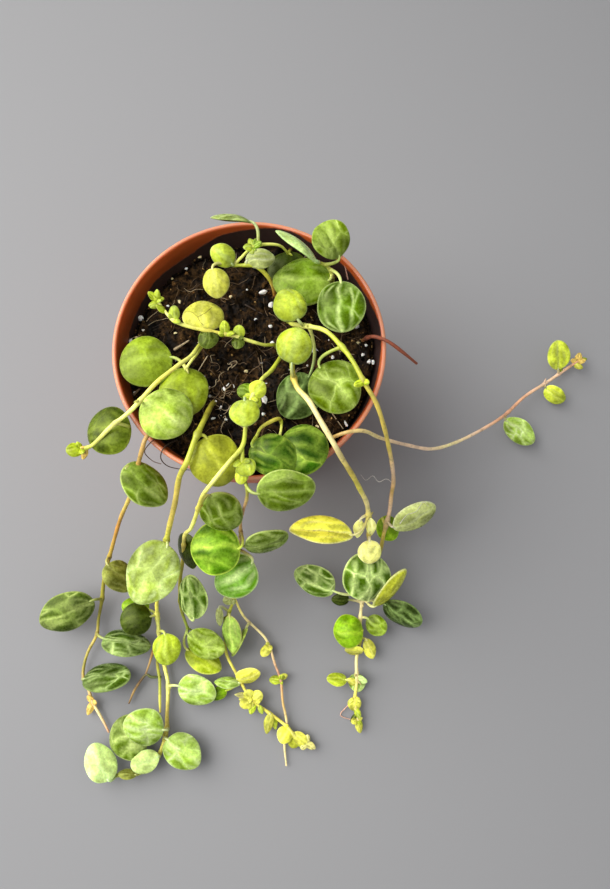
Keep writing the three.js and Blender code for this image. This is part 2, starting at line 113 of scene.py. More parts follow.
# Leaves: blade and vein colours, the veins' strength, width and cross veins, and how strong
# the mottling and the pale edge are
TONES = {
    "lime": ("7c8c18", "bccc68", 0.5, 0.45, 0.4, 0.8, 0.5),
    "citron": ("5c6c10", "a0b454", 0.5, 0.45, 0.4, 0.9, 0.5),
    "fresh": ("a4b02c", "b4bc84", 0.5, 0.5, 0.3, 0.6, 0.5),
    "pale": ("687c20", "d8e490", 0.6, 0.5, 0.5, 1.0, 0.3),
    "mint": ("78942c", "d0e0a0", 0.9, 0.4, 0.8, 0.8, 0.6),
    "pear": ("70802c", "c8d89c", 0.8, 0.45, 0.8, 1.0, 0.3),
    "linen": ("90a058", "c4e098", 0.6, 0.6, 0.7, 0.9, 0.5),
    "cream": ("a0b464", "d4f8b0", 0.6, 0.7, 0.6, 0.9, 0.5),
    "butter": ("a0a038", "ccc880", 0.5, 0.5, 0.2, 0.5, 0.6),
    "yolk": ("c0c03c", "e4e094", 0.5, 0.5, 0.2, 0.5, 0.6),
    "custard": ("d8d878", "f4f0c4", 0.5, 0.5, 0.2, 0.4, 0.6),
    "boat": ("d0d044", "e8e4a0", 0.7, 0.25, 0.0, 0.3, 0.9),
    "lemon": ("84901c", "acc084", 0.5, 0.7, 0.3, 0.7, 0.5),
    "acid": ("80900c", "e8ec80", 0.5, 0.5, 0.4, 0.6, 0.5),
    "gold": ("747818", "b8bc4c", 0.6, 0.5, 0.5, 1.0, 0.5),
    "moss": ("2c3800", "90a050", 0.7, 0.4, 0.6, 0.6, 0.6),
    "mid": ("4c6400", "acc060", 0.8, 0.4, 0.6, 0.8, 0.5),
    "turtle": ("506400", "b8cc6c", 0.85, 0.42, 0.8, 0.8, 0.5),
    "green": ("3c5400", "cce08c", 0.95, 0.26, 0.3, 0.6, 0.6),
    "bright": ("3c6400", "ccec54", 0.9, 0.42, 0.4, 0.4, 0.9),
    "spring": ("5c8008", "b8d03c", 0.5, 0.4, 0.3, 0.5, 0.9),
    "emerald": ("508008", "e0f4a8", 0.9, 0.5, 0.2, 0.4, 0.8),
    "star": ("385400", "cce08c", 1.0, 0.34, 0.95, 0.4, 0.8),
    "deep": ("204000", "90a83c", 1.0, 0.36, 0.9, 0.6, 0.6),
    "moor": ("445804", "a4b464", 0.9, 0.32, 0.7, 0.6, 0.9),
    "dusk": ("2c4004", "9cb06c", 0.95, 0.3, 0.8, 0.7, 0.5),
    "sage": ("304008", "98a85c", 1.0, 0.32, 0.8, 0.8, 0.6),
    "grey": ("203008", "94b064", 0.9, 0.36, 0.7, 0.7, 0.6),
    "dusty": ("848c4c", "c0c4a4", 0.6, 0.4, 0.5, 0.8, 0.6),
    "folded": ("405404", "b8c878", 0.8, 0.4, 0.8, 0.7, 0.7),
    "shade": ("1c2800", "586424", 0.6, 0.4, 0.4, 0.7, 0.6),
    "olive": ("2c3800", "90a038", 0.6, 0.45, 0.5, 0.9, 0.5),
    "umber": ("585c1c", "acb068", 0.5, 0.3, 0.5, 0.7, 0.5),
    "rimmed": ("a0a428", "dce090", 0.3, 0.3, 0.2, 0.6, 1.0),
    "teal": ("7c983c", "d8d880", 0.4, 0.3, 0.2, 0.4, 0.9),
    "tip": ("a09c58", "e0d8b0", 0.5, 0.4, 0.2, 0.4, 0.3),
    "tan": ("b89c50", "e4cc8c", 0.2, 0.3, 0.2, 0.4, 0.2),
}

# A line is its radius, its colours and the points that it runs through. A leaf is the place
# of its middle, heading, pitch, roll, length, width and tone, then its fold and plumpness.
LEAFY_STEMS = {
    "stem_left": ("foliage_lime", [
        (0.6, "olive lime pale yellow pale pale lime", [
            (-10.5, 2, 41), (-10.5, 2, 47), (-12, -3.5, 53), (-14.5, -7, 56),
            (-18.5, -11, 57), (-23.5, -16.5, 56), (-28, -19.5, 54), (-32.5, -22.5, 50.5),
            (-35.5, -23, 48.5)]),
        (0.5, "lime pale", [
            (-10.5, 2, 46), (-11.3, -1.5, 49.3), (-12.5, -4, 50.6), (-13.5, -5.5, 50.3)]),
    ], [
        (-22, -4, 50.5, 192, 4, 0, 11.5, 11.5, "citron"),
        (-14, -10, 48.5, 268, -8, -10, 10.8, 10.6, "lime"),
        (-17, -16.5, 53.5, -25, 0, 0, 11.4, 11.2, "pale"),
        (-29, -19.5, 50.5, 185, -12, 0, 10.2, 10.4, "olive"),
        (-36.5, -22.8, 48.5, 190, 20, 0, 3.4, 3.2, "acid"),
        (-34, -24.6, 48.3, 250, -20, 0, 2.8, 1.6, "tan"),
    ]),
    "stem_back_left": ("foliage_lime", [
        (0.5, "olive lime pale yellow pale pale", [
            (5.5, 1.5, 41), (5.5, 1.5, 46), (3, 0.5, 49), (-1, 1, 51), (-4, 1.5, 52),
            (-8, 2, 53), (-12, 2.5, 54), (-15.5, 3.5, 55), (-18, 6, 55.5),
            (-19.3, 7.8, 56)]),
    ], [
        (-10, 6.2, 51, 100, -6, 8, 7.6, 9, "butter"),
        (-9, 0, 51.8, 262, -5, 0, 4.2, 4.4, "moss"),
        (-15.3, 5.8, 54.3, 80, 30, 0, 3.4, 2.4, "lemon"),
        (-5, 3.8, 53.5, 95, 20, 0, 3.2, 2.2, "acid"),
        (-1.5, 2.6, 53.6, 90, 10, 0, 3, 2.8, "lemon"),
        (-1.6, 0, 53.4, 265, 10, 0, 3, 2.8, "moss"),
        (-20.2, 8.8, 56, 140, 30, 0, 2.8, 1.6, "acid"),
        (-18.6, 9.2, 56.3, 85, 40, 0, 2.6, 1.5, "lemon"),
        (-20.3, 7.2, 55.5, 200, 0, 0, 2.4, 1.5, "acid"),
    ]),
    "stem_back": ("foliage_lime", [
        (0.6, "orange orange yellow lime lime", [
            (5.2, 14.6, 41), (5.2, 14.6, 46), (4.3, 15.6, 50), (2.5, 16.5, 53),
            (0.5, 17, 54), (-2, 17, 54), (-3.5, 17, 54)]),
        (0.45, "pale lime pale lime", [
            (-3.5, 17, 54), (-1.5, 18.5, 55), (0.5, 20, 56), (3, 21, 55.8),
            (6.5, 21.8, 54), (8.5, 21.5, 51)]),
    ], [
        (-7, 12.5, 55, -75, -8, 10, 6.8, 5.8, "butter"),
        (-5.5, 18.5, 55.5, 140, 15, -25, 5.8, 5, "lemon"),
        (2.3, 18, 55, 3, 5, 40, 6.6, 4.4, "dusty"),
        (-3.5, 25.5, 58, 176, 5, 62, 8.6, 7.6, "pear"),
        (0, 20.6, 57, 200, 30, 0, 2.6, 2, "lemon"),
        (1.6, 20.6, 57.2, 20, 30, 0, 2.4, 1.8, "mid"),
        (8.5, 18.6, 47.2, 265, -12, 0, 10.4, 9.6, "shade"),
    ]),
    "stem_back_right": ("foliage_green", [
        (0.5, "olive lime pale lime", [
            (18.6, 16.6, 41), (18.6, 16.6, 46.5), (18.2, 16.4, 51), (17, 16.8, 54),
            (15.2, 17.2, 55)]),
    ], [
        (20, 7.5, 54, -90, -6, 0, 11.2, 10.8, "green"),
        (12, 14.5, 51, 180, 0, 0, 12.6, 11.6, "mid"),
        (10.5, 19, 58, 142, 6, 66, 10.8, 9.6, "cream"),
        (17.5, 20.6, 57.5, 125, 12, 0, 8.2, 8.6, "turtle", 0.6),
    ]),
    "stem_right": ("foliage_green", [
        (0.65, "lime lime pale lime lime straw straw straw blush tan blush straw olive", [
            (8.5, 7.5, 41), (8.5, 7.5, 46), (9.5, 4.5, 51), (13, 2.5, 54.5),
            (16.5, 0.5, 57), (19.5, -3, 58), (22, -6.5, 58), (24.5, -11, 57),
            (27, -14.5, 54.5), (29, -18, 49.5), (30.5, -20.5, 43.5), (32, -23.5, 37),
            (33, -26.5, 31), (33, -29, 26), (33, -32.5, 20.5), (32, -37.5, 15),
            (31.5, -41, 12), (31, -43.5, 10.5)]),
    ], [
        (9, 6.5, 56, 118, 0, 0, 7.8, 7, "lemon", 0, 0.4),
        (18.5, -10.5, 53.5, -50, -4, 0, 11.4, 11.6, "turtle"),
        (10.8, -10.8, 47.8, 240, -8, 8, 10.6, 10, "grey"),
        (23.6, -10.8, 56, 215, 20, 0, 2.8, 1.7, "acid"),
        (33.2, -35.5, 14, -60, -20, 0, 6.6, 6.2, "spring"),
        (39, -33.5, 20, 26, 6, 50, 12, 8.4, "dusty"),
    ]),
    "stem_front_right": ("foliage_green", [
        (0.75, "olive lime straw cream cream straw yellow cream yellow straw", [
            (9.5, -1.8, 41), (9.5, -1.8, 46), (9.5, -6, 51), (10.5, -11, 54.5),
            (13, -14.5, 56), (15.5, -19, 56), (18, -23, 54.5), (20, -25.5, 50.5),
            (22.5, -28, 45), (24.5, -30, 39), (26.5, -32, 32), (27.5, -35, 25),
            (28, -39, 18)]),
        (0.55, "straw lime cream cream yellow cream yellow cream", [
            (28, -39, 18), (28, -46, 11), (27, -53, 7), (26.5, -58, 5),
            (26.5, -63.5, 3.5), (25.5, -68, 3), (25.5, -73, 3.4), (25, -78, 2.4),
            (25.5, -82, 2), (26, -84.5, 2)]),
    ], [
        (10, -3, 57, 82, 4, 0, 8, 7.6, "lemon", 0, 0.4),
        (16.4, -38.5, 28, 174, -4, 24, 15, 7.8, "boat", 0.5),
        (25, -37, 26, -95, -50, 0, 5.8, 2.8, "custard"),
        (28, -36.5, 25, -80, -50, 0, 5.6, 2.6, "custard"),
        (28, -42, 20, -90, -10, 0, 5.8, 5.8, "custard"),
        (27.5, -48, 15, 97, 22, 0, 12.6, 12, "star"),
        (15, -48.5, 10, 152, 0, -30, 11.4, 8.2, "star"),
        (21.5, -53, 6, 180, 0, -30, 4.6, 3.6, "shade"),
        (33.5, -50.5, 11.5, 49, 12, 66, 12.2, 8.6, "rimmed"),
        (37, -56.5, 7.5, -30, -4, 48, 10.6, 8.4, "grey"),
        (23.5, -61, 5.5, 182, -10, 0, 7.6, 8.6, "spring"),
        (30.5, -59.5, 5.5, -40, 0, 15, 6, 5.2, "turtle"),
        (28.8, -65.3, 4, -72, -10, 0, 5.2, 3.4, "butter"),
        (25, -65.8, 4.2, 178, 0, -50, 5, 3.6, "butter"),
        (20.5, -73, 3.5, 176, 0, 30, 5.2, 3.8, "acid"),
        (25.6, -73.8, 1.8, -80, 0, 0, 4.6, 4.4, "mint"),
        (25, -79.5, 3.6, -95, -10, 0, 3.6, 3.5, "butter"),
        (26, -84.4, 2.4, -80, 0, 0, 3.4, 2, "butter"),
    ]),
    "stem_front": ("foliage_green", [
        (0.6, "lime lime pale lime pale yellow pale straw olive olive green", [
            (7, -0.8, 41), (7, -0.8, 45.5), (5, -5.5, 49.5), (3, -8.5, 52),
            (1.5, -12, 53.5), (0.3, -16, 54), (0, -19.5, 55), (-0.5, -24, 55.8),
            (-3, -27.3, 56.2), (-7, -31.7, 54), (-9.3, -33.5, 49.5), (-11, -35.5, 43.5),
            (-13.3, -38.3, 36.5), (-15.5, -39.5, 31.5), (-17, -43.5, 23), (-19, -49, 14),
            (-19.5, -55, 8), (-18, -60.5, 5)]),
        (0.5, "lime lime pink tan straw yellow lime yellow yellow yellow pale", [
            (-0.5, -24, 55.8), (-0.5, -29, 54), (0, -31.5, 48.5), (-0.5, -33, 43),
            (-1.5, -34.5, 38.5), (-2.5, -36.5, 33.5), (-3, -40, 27), (-4.5, -45, 17),
            (-6, -52.5, 8), (-8, -58, 4.5), (-8.5, -63, 3.5), (-8, -67, 3),
            (-5.5, -71.5, 3), (-3.5, -75, 3), (-1.5, -78, 3), (2, -80.5, 2.5),
            (7, -84, 2.5), (10, -87, 2.5), (13.5, -89, 2)]),
        (0.42, "yellow cream cream pink tan cream cream", [
            (-6, -52.5, 8), (-3.5, -57.5, 4.5), (2, -63, 2.5), (4.5, -69.5, 2),
            (6, -73.5, 2), (6.5, -78.5, 2), (7.5, -83.5, 1.8), (7, -89, 1),
            (7.5, -94, 1)]),
    ], [
        (1.5, -10.5, 57, 60, 0, 0, 4.2, 4.2, "fresh"),
        (-1, -11.5, 52.5, 170, 0, 0, 4, 3.6, "mid"),
        (1.8, -13.2, 56, -60, 0, 0, 3, 2.4, "acid"),
        (0, -17.5, 58, -88, 0, 0, 5.6, 6.4, "lemon"),
        (2, -29, 57, -60, 0, 0, 3.8, 4.2, "lemon"),
        (-2, -29.4, 53.2, -100, -10, 0, 3.2, 2.8, "fresh"),
        (8, -32.8, 53.8, 8, -4, 24, 12.2, 8.6, "moor"),
        (-6.3, -35, 40, -58, -35, 20, 10.4, 9.4, "moor"),
        (-8, -42.5, 32, 180, 0, -8, 11.2, 12.2, "bright"),
        (-4, -48, 23, 218, -10, 0, 10.8, 10.6, "emerald"),
        (3, -40.5, 29, 15, -5, 60, 10.6, 8.2, "folded"),
        (-15.5, -42, 25, -80, -20, 50, 9, 8, "shade"),
        (-15.5, -53, 15, 95, 20, -30, 11.2, 8.8, "star"),
        (-13.2, -64, 7, -25, 6, 15, 10.4, 7.6, "turtle"),
        (-14, -68, 4.5, -28, 0, -30, 10.4, 7, "acid"),
        (-6.5, -61.5, 6.5, -85, -10, 30, 9.4, 6, "teal"),
        (-4.5, -63.5, 5, -118, -5, 70, 8, 5.6, "pale"),
        (-8.5, -54, 9, 200, 10, 0, 3.2, 2.6, "dusty"),
        (-9.8, -57.2, 6, -84, 0, 40, 4.8, 3, "dusty"),
        (-11.4, -58.2, 5.4, -100, 0, 0, 3.2, 1.8, "fresh"),
        (-2.5, -72, 4.5, 15, 10, 30, 6.4, 4.6, "yolk"),
        (-7.5, -73.8, 3.6, 175, 0, 45, 6.6, 4, "mint"),
        (-10, -76.5, 2.6, 200, 0, 0, 4.8, 3.4, "spring"),
        (-2.6, -79, 4.2, 200, 20, 0, 3.6, 3.2, "butter"),
        (-0.2, -77.6, 4.6, 40, 20, 0, 3.8, 3.2, "butter"),
        (-5.2, -79.4, 2.6, 190, 0, 0, 3, 1.8, "butter"),
        (3, -83.5, 3, -100, 0, 0, 5, 2.6, "butter"),
        (8, -85.5, 4.4, -120, 10, 0, 4.2, 4.2, "yolk"),
        (9.8, -88.2, 3.2, -30, 0, 0, 4.4, 3, "butter"),
        (1.3, -66.5, 2.8, -125, 0, 20, 3.6, 2.8, "butter"),
        (3.6, -73.4, 2.6, 180, 0, 20, 3.2, 2.4, "acid"),
        (13.6, -89.2, 2.2, -30, 0, 0, 2.8, 1.8, "tip"),
    ]),
    "stem_front_left": ("foliage_green", [
        (0.8, "olive olive lime straw straw lime straw yellow", [
            (-8, -12, 41), (-8, -12, 46), (-9, -17.5, 52), (-10.5, -22.5, 54.2),
            (-12, -27, 54), (-14, -29.5, 50.5), (-16, -33.5, 43), (-18.5, -38, 35),
            (-21, -43.5, 27), (-23.5, -50, 18), (-25, -54.5, 12)]),
        (0.65, "yellow pale yellow pale straw yellow lime lime", [
            (-25, -54.5, 12), (-25.5, -58.5, 7), (-25, -65.5, 3.5), (-24, -70, 2.5),
            (-23, -74.5, 2.2), (-23, -81.5, 2), (-23, -86, 2), (-24.5, -91, 2),
            (-27, -94.5, 2), (-32, -96, 2), (-35, -96, 2.5)]),
        (0.5, "yellow olive lime yellow", [
            (-25.2, -62, 5), (-26, -68.5, 2.5), (-25.3, -73, 2), (-25, -78, 2),
            (-24.6, -81, 3)]),
        (0.45, "dark dark brown tan brown", [
            (-25, -72.5, 2), (-27.5, -72.5, 2), (-29, -72, 2), (-31.5, -75.5, 2),
            (-33, -79, 1.5)]),
        (0.45, "orange tan brown", [(-27, -65.5, 3), (-28, -69, 2.4), (-29, -72, 2)]),
    ], [
        (-6.5, -26, 52, -70, -10, 0, 10.6, 10.8, "gold"),
        (-22.5, -47.5, 31, -122, -10, 0, 15, 12.2, "pear"),
        (-30.5, -58, 9, 190, 0, 0, 8.2, 8, "shade"),
        (-31.5, -55, 5.5, 170, 0, 10, 7, 6, "spring"),
        (-22.8, -65.2, 7.5, -82, 0, 0, 7.6, 7.4, "lime"),
        (-15.5, -75.5, 4.5, -14, 0, 12, 9.8, 7.8, "mint"),
        (-27.5, -84, 7, 172, 6, -10, 10.2, 9, "mint"),
        (-32, -87, 3.5, 200, 0, 0, 9.6, 11, "folded"),
        (-18.5, -90, 4.5, -37, 0, 0, 10.2, 8.4, "mint"),
        (-27.5, -92.5, 4.2, 200, 0, 0, 7.2, 5.6, "linen"),
        (-38.5, -93, 4.6, 118, 0, 8, 9.6, 7.8, "cream"),
        (-32, -95.6, 3.4, 175, 0, 30, 4.6, 2.8, "umber"),
    ]),
    "stem_far_left": ("foliage_dark", [
        (0.65, "olive tan tan orange straw orange ochre olive olive", [
            (-17.5, -15, 41), (-17.5, -15, 45.5), (-19.5, -18.7, 50.3),
            (-21, -21.5, 52.3), (-22, -23.8, 51), (-23.8, -26, 46), (-26, -28.5, 39),
            (-28.5, -31, 32.5), (-31.5, -33.7, 26), (-33.5, -36.2, 21.5),
            (-36, -40, 15.5), (-38, -44, 11.5), (-39.5, -48, 8.5), (-40.5, -53, 5.5),
            (-41.5, -58, 4)]),
        (0.5, "olive straw olive tan cream pink", [
            (-41.5, -58, 4), (-42, -62, 3), (-44, -66, 2.5), (-45, -69.5, 2),
            (-45, -72.5, 2), (-43.5, -75.5, 2), (-42, -79, 1.8), (-39.5, -83, 1.5),
            (-37.8, -86, 1.2)]),
    ], [
        (-22.5, -30, 45.5, -38, -18, -8, 11.6, 8.4, "moor"),
        (-34.5, -47.5, 14, -45, -15, -20, 8.6, 7.6, "umber"),
        (-48.5, -56, 7.5, 204, -6, -15, 14.6, 10, "sage"),
        (-34, -64, 5.5, -10, 0, -42, 12.2, 8.8, "dusk"),
        (-38.5, -72.5, 4.8, 5, 0, -38, 12, 8.8, "dusk"),
        (-43.8, -80.8, 1.8, -110, 0, 0, 3.6, 2, "tan"),
    ]),
    "leaf_pair": ("foliage_dark", [
        (0.55, "olive lime yellow yellow lime", [
            (7, -16.4, 41), (7, -16.4, 47), (6.5, -16.8, 50.5), (5, -18, 52.5),
            (3, -19.5, 53), (2, -21.5, 52.8)]),
        (0.45, "lime lime pale", [
            (7, -16.4, 47), (7.2, -17.2, 49.5), (7.2, -19, 51.2), (6.9, -20.8, 51.4)]),
    ], [
        (5.6, -25.4, 53.2, -22, 0, 12, 10.3, 9, "deep"),
        (11.6, -24, 52.2, -20, 6, 0, 10.6, 11.2, "deep"),
    ]),
    "runner_right": ("foliage_lime", [
        (0.55, "olive tan cream blush blush cream blush pink pink blush pink", [
            (17, -20, 41), (17, -20, 46), (18, -20.8, 50), (19.8, -20.6, 52.3),
            (22, -20.1, 52.5), (25, -19.5, 50.3), (29, -19.3, 43.5), (36, -19, 35.5),
            (43, -18, 27.5), (50.5, -14.5, 20), (59.5, -9, 13), (66.5, -4, 8.5),
            (73, 2, 5.5), (80.5, 7, 4), (85.5, 10.5, 3.5), (89.5, 13, 4)]),
    ], [
        (82.5, 13.5, 7, 100, 35, 0, 8.4, 6.6, "fresh", 0.3),
        (82, 3.5, 3.6, -35, -5, 45, 6.6, 5, "fresh", 0.4),
        (71, -7.5, 4.5, -38, -5, 20, 9.8, 6.6, "mint"),
        (89.3, 13.8, 5, 80, 30, 0, 2.8, 2, "tan"),
        (90.6, 13.3, 4.3, 15, 0, 0, 2.6, 1.6, "acid"),
    ]),
}

# Leaflets of the young tips that the CAD model leaves out
LEAFLETS = {
    "stem_front": [
        (-3.2, -77.6, 4, 110, 30, 0, 3.2, 3, "butter"),
        (-6.1, -78.8, 3, 172, 5, 40, 3.8, 1.8, "tip"),
        (-2.2, -80.9, 3, -105, -10, 20, 3.4, 2.2, "acid"),
        (-0.4, -78.4, 4, 60, 25, -20, 2.8, 2.2, "butter"),
        (0.4, -80.6, 3, -60, 10, 30, 2.6, 1.6, "lemon"),
        (2.4, -83.8, 3, -96, -10, 30, 4.8, 2.2, "lemon"),
        (4.4, -83.4, 3, -76, -5, -20, 3.8, 1.8, "acid"),
        (9.2, -88.6, 3, -104, -20, 10, 3.8, 3, "gold"),
        (11, -87.8, 3, -64, -10, 20, 3, 2, "acid"),
        (3.6, -73.4, 2.6, 20, 20, 0, 2.4, 1.6, "butter"),
    ],
    "stem_front_right": [
        (22.5, -73.4, 3.4, 150, 10, -20, 3, 2, "butter"),
        (26.8, -73.2, 2.4, -20, 10, 30, 3, 2.2, "cream"),
        (25.6, -81.2, 3, -70, 10, 20, 3, 1.8, "lemon"),
        (24.6, -82.4, 2.4, -130, -5, 30, 2.8, 1.4, "moss"),
        (26.6, -83.4, 2.2, -60, 0, -30, 2.6, 1.5, "acid"),
    ],
    "runner_right": [
        (84, 10.4, 4.6, 130, 40, 0, 3, 1.8, "lemon"),
        (88.6, 12, 4, -40, 10, 20, 2.8, 1.8, "butter"),
    ],
    "stem_back_left": [(-17.4, 6.6, 56, 150, 30, 20, 2.6, 1.6, "acid"),
                       (-18.8, 7, 55.8, -150, 20, 0, 2.4, 1.4, "lemon")],
}
DRY_STALK = (0.4, "olive rust rust rust", [
    (25, 2.5, 41), (25, 2.5, 46), (26.8, 1.8, 50.5), (29, 0.8, 51.6), (31, -0.2, 51.3),
    (34, -1.8, 49.5), (37, -3, 46.5)])

# Blades. Thickness and doming are shares of the width, and the side veins' place is a share
# of the way from the midrib to the edge. A blade shorter than STALKLESS has no petiole, and
# none dips below LOWEST.
BLADE_THICKNESS = 0.14
THINNEST_BLADE = 0.45
BLADE_DOME = 0.11
SIDE_VEIN = 0.54
STALKLESS = 4.5
LOWEST = 0.1
PETIOLE_RADIUS = 0.36
PETIOLE_SIDES = 9
# How thick a stem looks beside the CAD model's, and its sides and the pitch of its points
STEM_SHARE = 0.76
STEM_SIDES = 12
STEM_PITCH = 0.5

# Loose threads and root loops: colour, radius and points
THREADS = [
    ("5b4330", 0.16, [
        (-16.5, -18, 46.6), (-19, -20.5, 49.4), (-20.6, -22.3, 50.5), (-21.8, -23.8, 49.2),
        (-20.4, -25.3, 47.6), (-18.6, -25.9, 47)]),
    ("3f3026", 0.16, [
        (-15.5, -20.5, 46.4), (-17, -22.3, 49.6), (-17.9, -23.9, 50.5), (-18.2, -25.4, 49.2),
        (-16.8, -26.6, 47.8), (-13.5, -27.2, 47.4), (-10.5, -27.4, 47.8)]),
    ("c99a86", 0.16, [
        (22, 17, 47), (21, 20.2, 49.3), (20.2, 21.6, 50.5), (18.6, 22.4, 51.6)]),
    ("d8a890", 0.16, [
        (25.1, -77.4, 2.2), (23, -79.8, 1), (21.3, -81.9, 0.4), (23.4, -82.9, 0.5),
        (25.6, -83, 2)]),
    ("d8d6cc", 0.07, [
        (33, -27, 30), (31.4, -26, 30.6), (29.6, -26.6, 30.2), (28.2, -25.2, 30.4),
        (26.6, -26.2, 30), (25.4, -24.8, 29.8)]),
    ("d8d6cc", 0.07, [
        (35.4, -35.4, 21), (37, -33.4, 22.6), (39.2, -32.6, 23), (41, -30.4, 23.4),
        (42.4, -31.4, 22.8)]),
]
PALE_ROOT, TAN_ROOT, BROWN_ROOT = "b39f7c", "6e563a", "35261a"
# Bark slivers on the soil: their two ends, radius and colour
SLIVERS = [
    ((-17.3, 1.1), (-14.1, 3.3), 0.35, PALE_ROOT),
    ((-26.5, -9.9), (-24.8, -8.1), 0.4, TAN_ROOT),
    ((-9.6, -0.6), (-13.6, -7.2), 0.14, PALE_ROOT), ((-1.5, 12), (2.5, 9.5), 0.2, BROWN_ROOT),
    ((2.2, -3), (0.4, 3.5), 0.16, TAN_ROOT), ((18, -14.5), (20.5, -18), 0.14, PALE_ROOT),
]
# Dry cracks across one young leaf, as points from -1 to 1 along and across it
CRACKED_STEM = "stem_back_left"
CRACKS = [
    [(-0.75, 0.1), (-0.5, 0.25), (-0.2, 0.3), (0.15, 0.5), (0.35, 0.75)],
    [(0.35, 0.75), (0.3, 0.85)],
    [(-0.2, 0.3), (0.0, -0.1), (0.4, -0.45)],
]

# Perlite grains on the soil: place, length, width and heading
GRAINS = [
    (-12.8, 24.8, 1.8, 0.8, -5), (-8.6, 25.9, 1, 0.8, 0), (-11.6, 25.4, 0.7, 0.6, 0),
    (-15.7, 22, 0.9, 0.7, 0), (-18.9, 19.4, 0.6, 0.5, 0), (-16.9, 13.4, 1.1, 0.7, -60),
    (-19.5, 12.4, 0.7, 0.5, 0), (-25.6, 9.2, 1.8, 1.2, 0), (-24.8, 6.1, 0.8, 0.6, 0),
    (-26.2, 4.2, 0.8, 0.6, 0), (-27.4, 3.2, 1.2, 0.7, 70), (-17.5, 5.5, 1, 0.5, 20),
    (-4.9, 14.4, 0.8, 0.7, 0), (-1.1, 26.4, 1.4, 1, 80), (2.4, 24.9, 1.7, 1, -20),
    (2.6, 15, 2.1, 1.2, 10), (4.3, 12, 1.4, 1.1, 60), (0.9, 8.4, 1, 0.6, 30),
    (4.4, 6.6, 0.9, 0.7, 0), (24.2, 6.4, 1.2, 0.8, 40), (27.2, 3.9, 1.2, 0.9, 0),
    (4.8, 2.5, 1, 0.9, 0), (14, 0.5, 1.4, 1.2, 0), (14.9, 0.1, 0.6, 0.5, 0),
    (18.4, -1.1, 0.9, 0.7, 90), (12.8, -3, 0.5, 0.5, 0), (24.1, 1.8, 0.9, 0.7, 0),
    (25.8, 1.4, 0.9, 0.8, 0), (25.1, -0.6, 0.8, 0.7, 0), (26.4, -2.8, 1.1, 0.8, 90),
    (27.3, -2.7, 1.2, 0.7, 90), (-0.9, -4.2, 0.9, 0.7, 0), (2.8, -9.4, 0.9, 0.8, 30),
    (3.3, -11.3, 2.4, 1.4, -70), (3, -14.3, 0.8, 0.7, 0), (14.9, -17.3, 1.2, 0.5, -30),
    (21.2, -16.9, 1.5, 0.5, -60), (-27.3, 1.2, 0.7, 0.6, 0), (-26.1, -8.7, 1, 0.6, 20),
    (-10.7, -5, 0.9, 0.5, 0), (-9.4, -8.1, 0.8, 0.6, 0), (-9, -9.9, 1, 0.7, 0),
    (-5.7, -8.4, 1, 0.6, -60), (-3.7, -7.7, 0.9, 0.4, -60), (-5, -7.5, 1, 0.4, 50),
    (-7.5, -11.5, 0.7, 0.6, 0), (-8.1, -15.1, 1, 0.5, 10), (-5.2, -15.5, 0.9, 0.6, 0),
    (-6.4, -12.6, 0.9, 0.4, 60), (-20.4, -17.2, 0.9, 0.6, 0), (9.6, -25.2, 1, 0.7, 15),
]


# Numbers ------------

def colour(code):
    """The linear values of a colour written as six hexadecimal digits."""
    values = [int(code[i:i + 2], 16) / 255 for i in (0, 2, 4)]
    return np.array([v / 12.92 if v < 0.04045 else ((v + 0.055) / 1.055) ** 2.4
                     for v in values])


def paint(code):
    """The same for a shader's colour socket."""
    return *colour(code), 1


def smooth(value):
    """0 below 0, 1 above 1, and a smooth step between."""
    value = np.clip(value, 0, 1)
    return value * value * (3 - 2 * value)


def unit(vectors):
    return vectors / (np.linalg.norm(vectors, axis=-1, keepdims=True) + 1e-12)


def through(points, step):
    """Points a step apart on the smooth curve through the given ones."""
    given = np.array(points, float)
    ends = np.vstack([2 * given[0] - given[1], given, 2 * given[-1] - given[-2]])
    t = np.linspace(0, 1, 16, endpoint=False)[:, None]
    runs = []
    for a, b, c, d in zip(ends, ends[1:], ends[2:], ends[3:]):
        leave, arrive = (c - a) / 2, (d - b) / 2
        runs.append(b + leave * t + (3 * (c - b) - 2 * leave - arrive) * t ** 2
                    + (2 * (b - c) + leave + arrive) * t ** 3)
    runs.append(given[-1:])
    return evenly(np.vstack(runs), step)


def travelled(path):
    """How far along the path each of its points is."""
    return np.append(0, np.cumsum(np.linalg.norm(np.diff(path, axis=0), axis=1)))


def evenly(path, step):
    """The same path with its points a step apart."""
    lengths = travelled(path)
    count = max(2, round(lengths[-1] / step))
    at = np.linspace(0, lengths[-1], count + 1)
    return np.stack([np.interp(at, lengths, path[:, k]) for k in range(3)], 1)


def circle(sides):
    """Evenly spaced angles once round."""
    return np.linspace(0, 2 * math.pi, sides, endpoint=False)


def level_ring(radius, angle, height):
    return np.stack([radius * np.cos(angle), radius * np.sin(angle),
                     np.full(len(angle), height)], 1)


def along(colours, count):
    """The named stem colours, blended evenly over a count of points."""
    values = np.array([colour(STEM_COLOURS[name]) for name in colours.split()])
    at = np.linspace(0, len(values) - 1, count)
    return np.stack([np.interp(at, range(len(values)), values[:, k]) for k in range(3)], 1)


def lumps(x, y, dice, pitch, octaves=3):
    """Smooth seeded noise, about -1 to 1, with its largest waves a pitch apart."""
    total = 0
    for octave in range(octaves):
        for _ in range(6):
            turn, phase = dice.uniform(0, 2 * math.pi, 2)
            rate = 2 * math.pi * 2 ** octave / pitch * dice.uniform(0.7, 1.3)
            waves = np.sin(rate * (x * math.cos(turn) + y * math.sin(turn)) + phase)
            total = total + waves / 2 ** octave
    return total / 5


# Meshes ------------

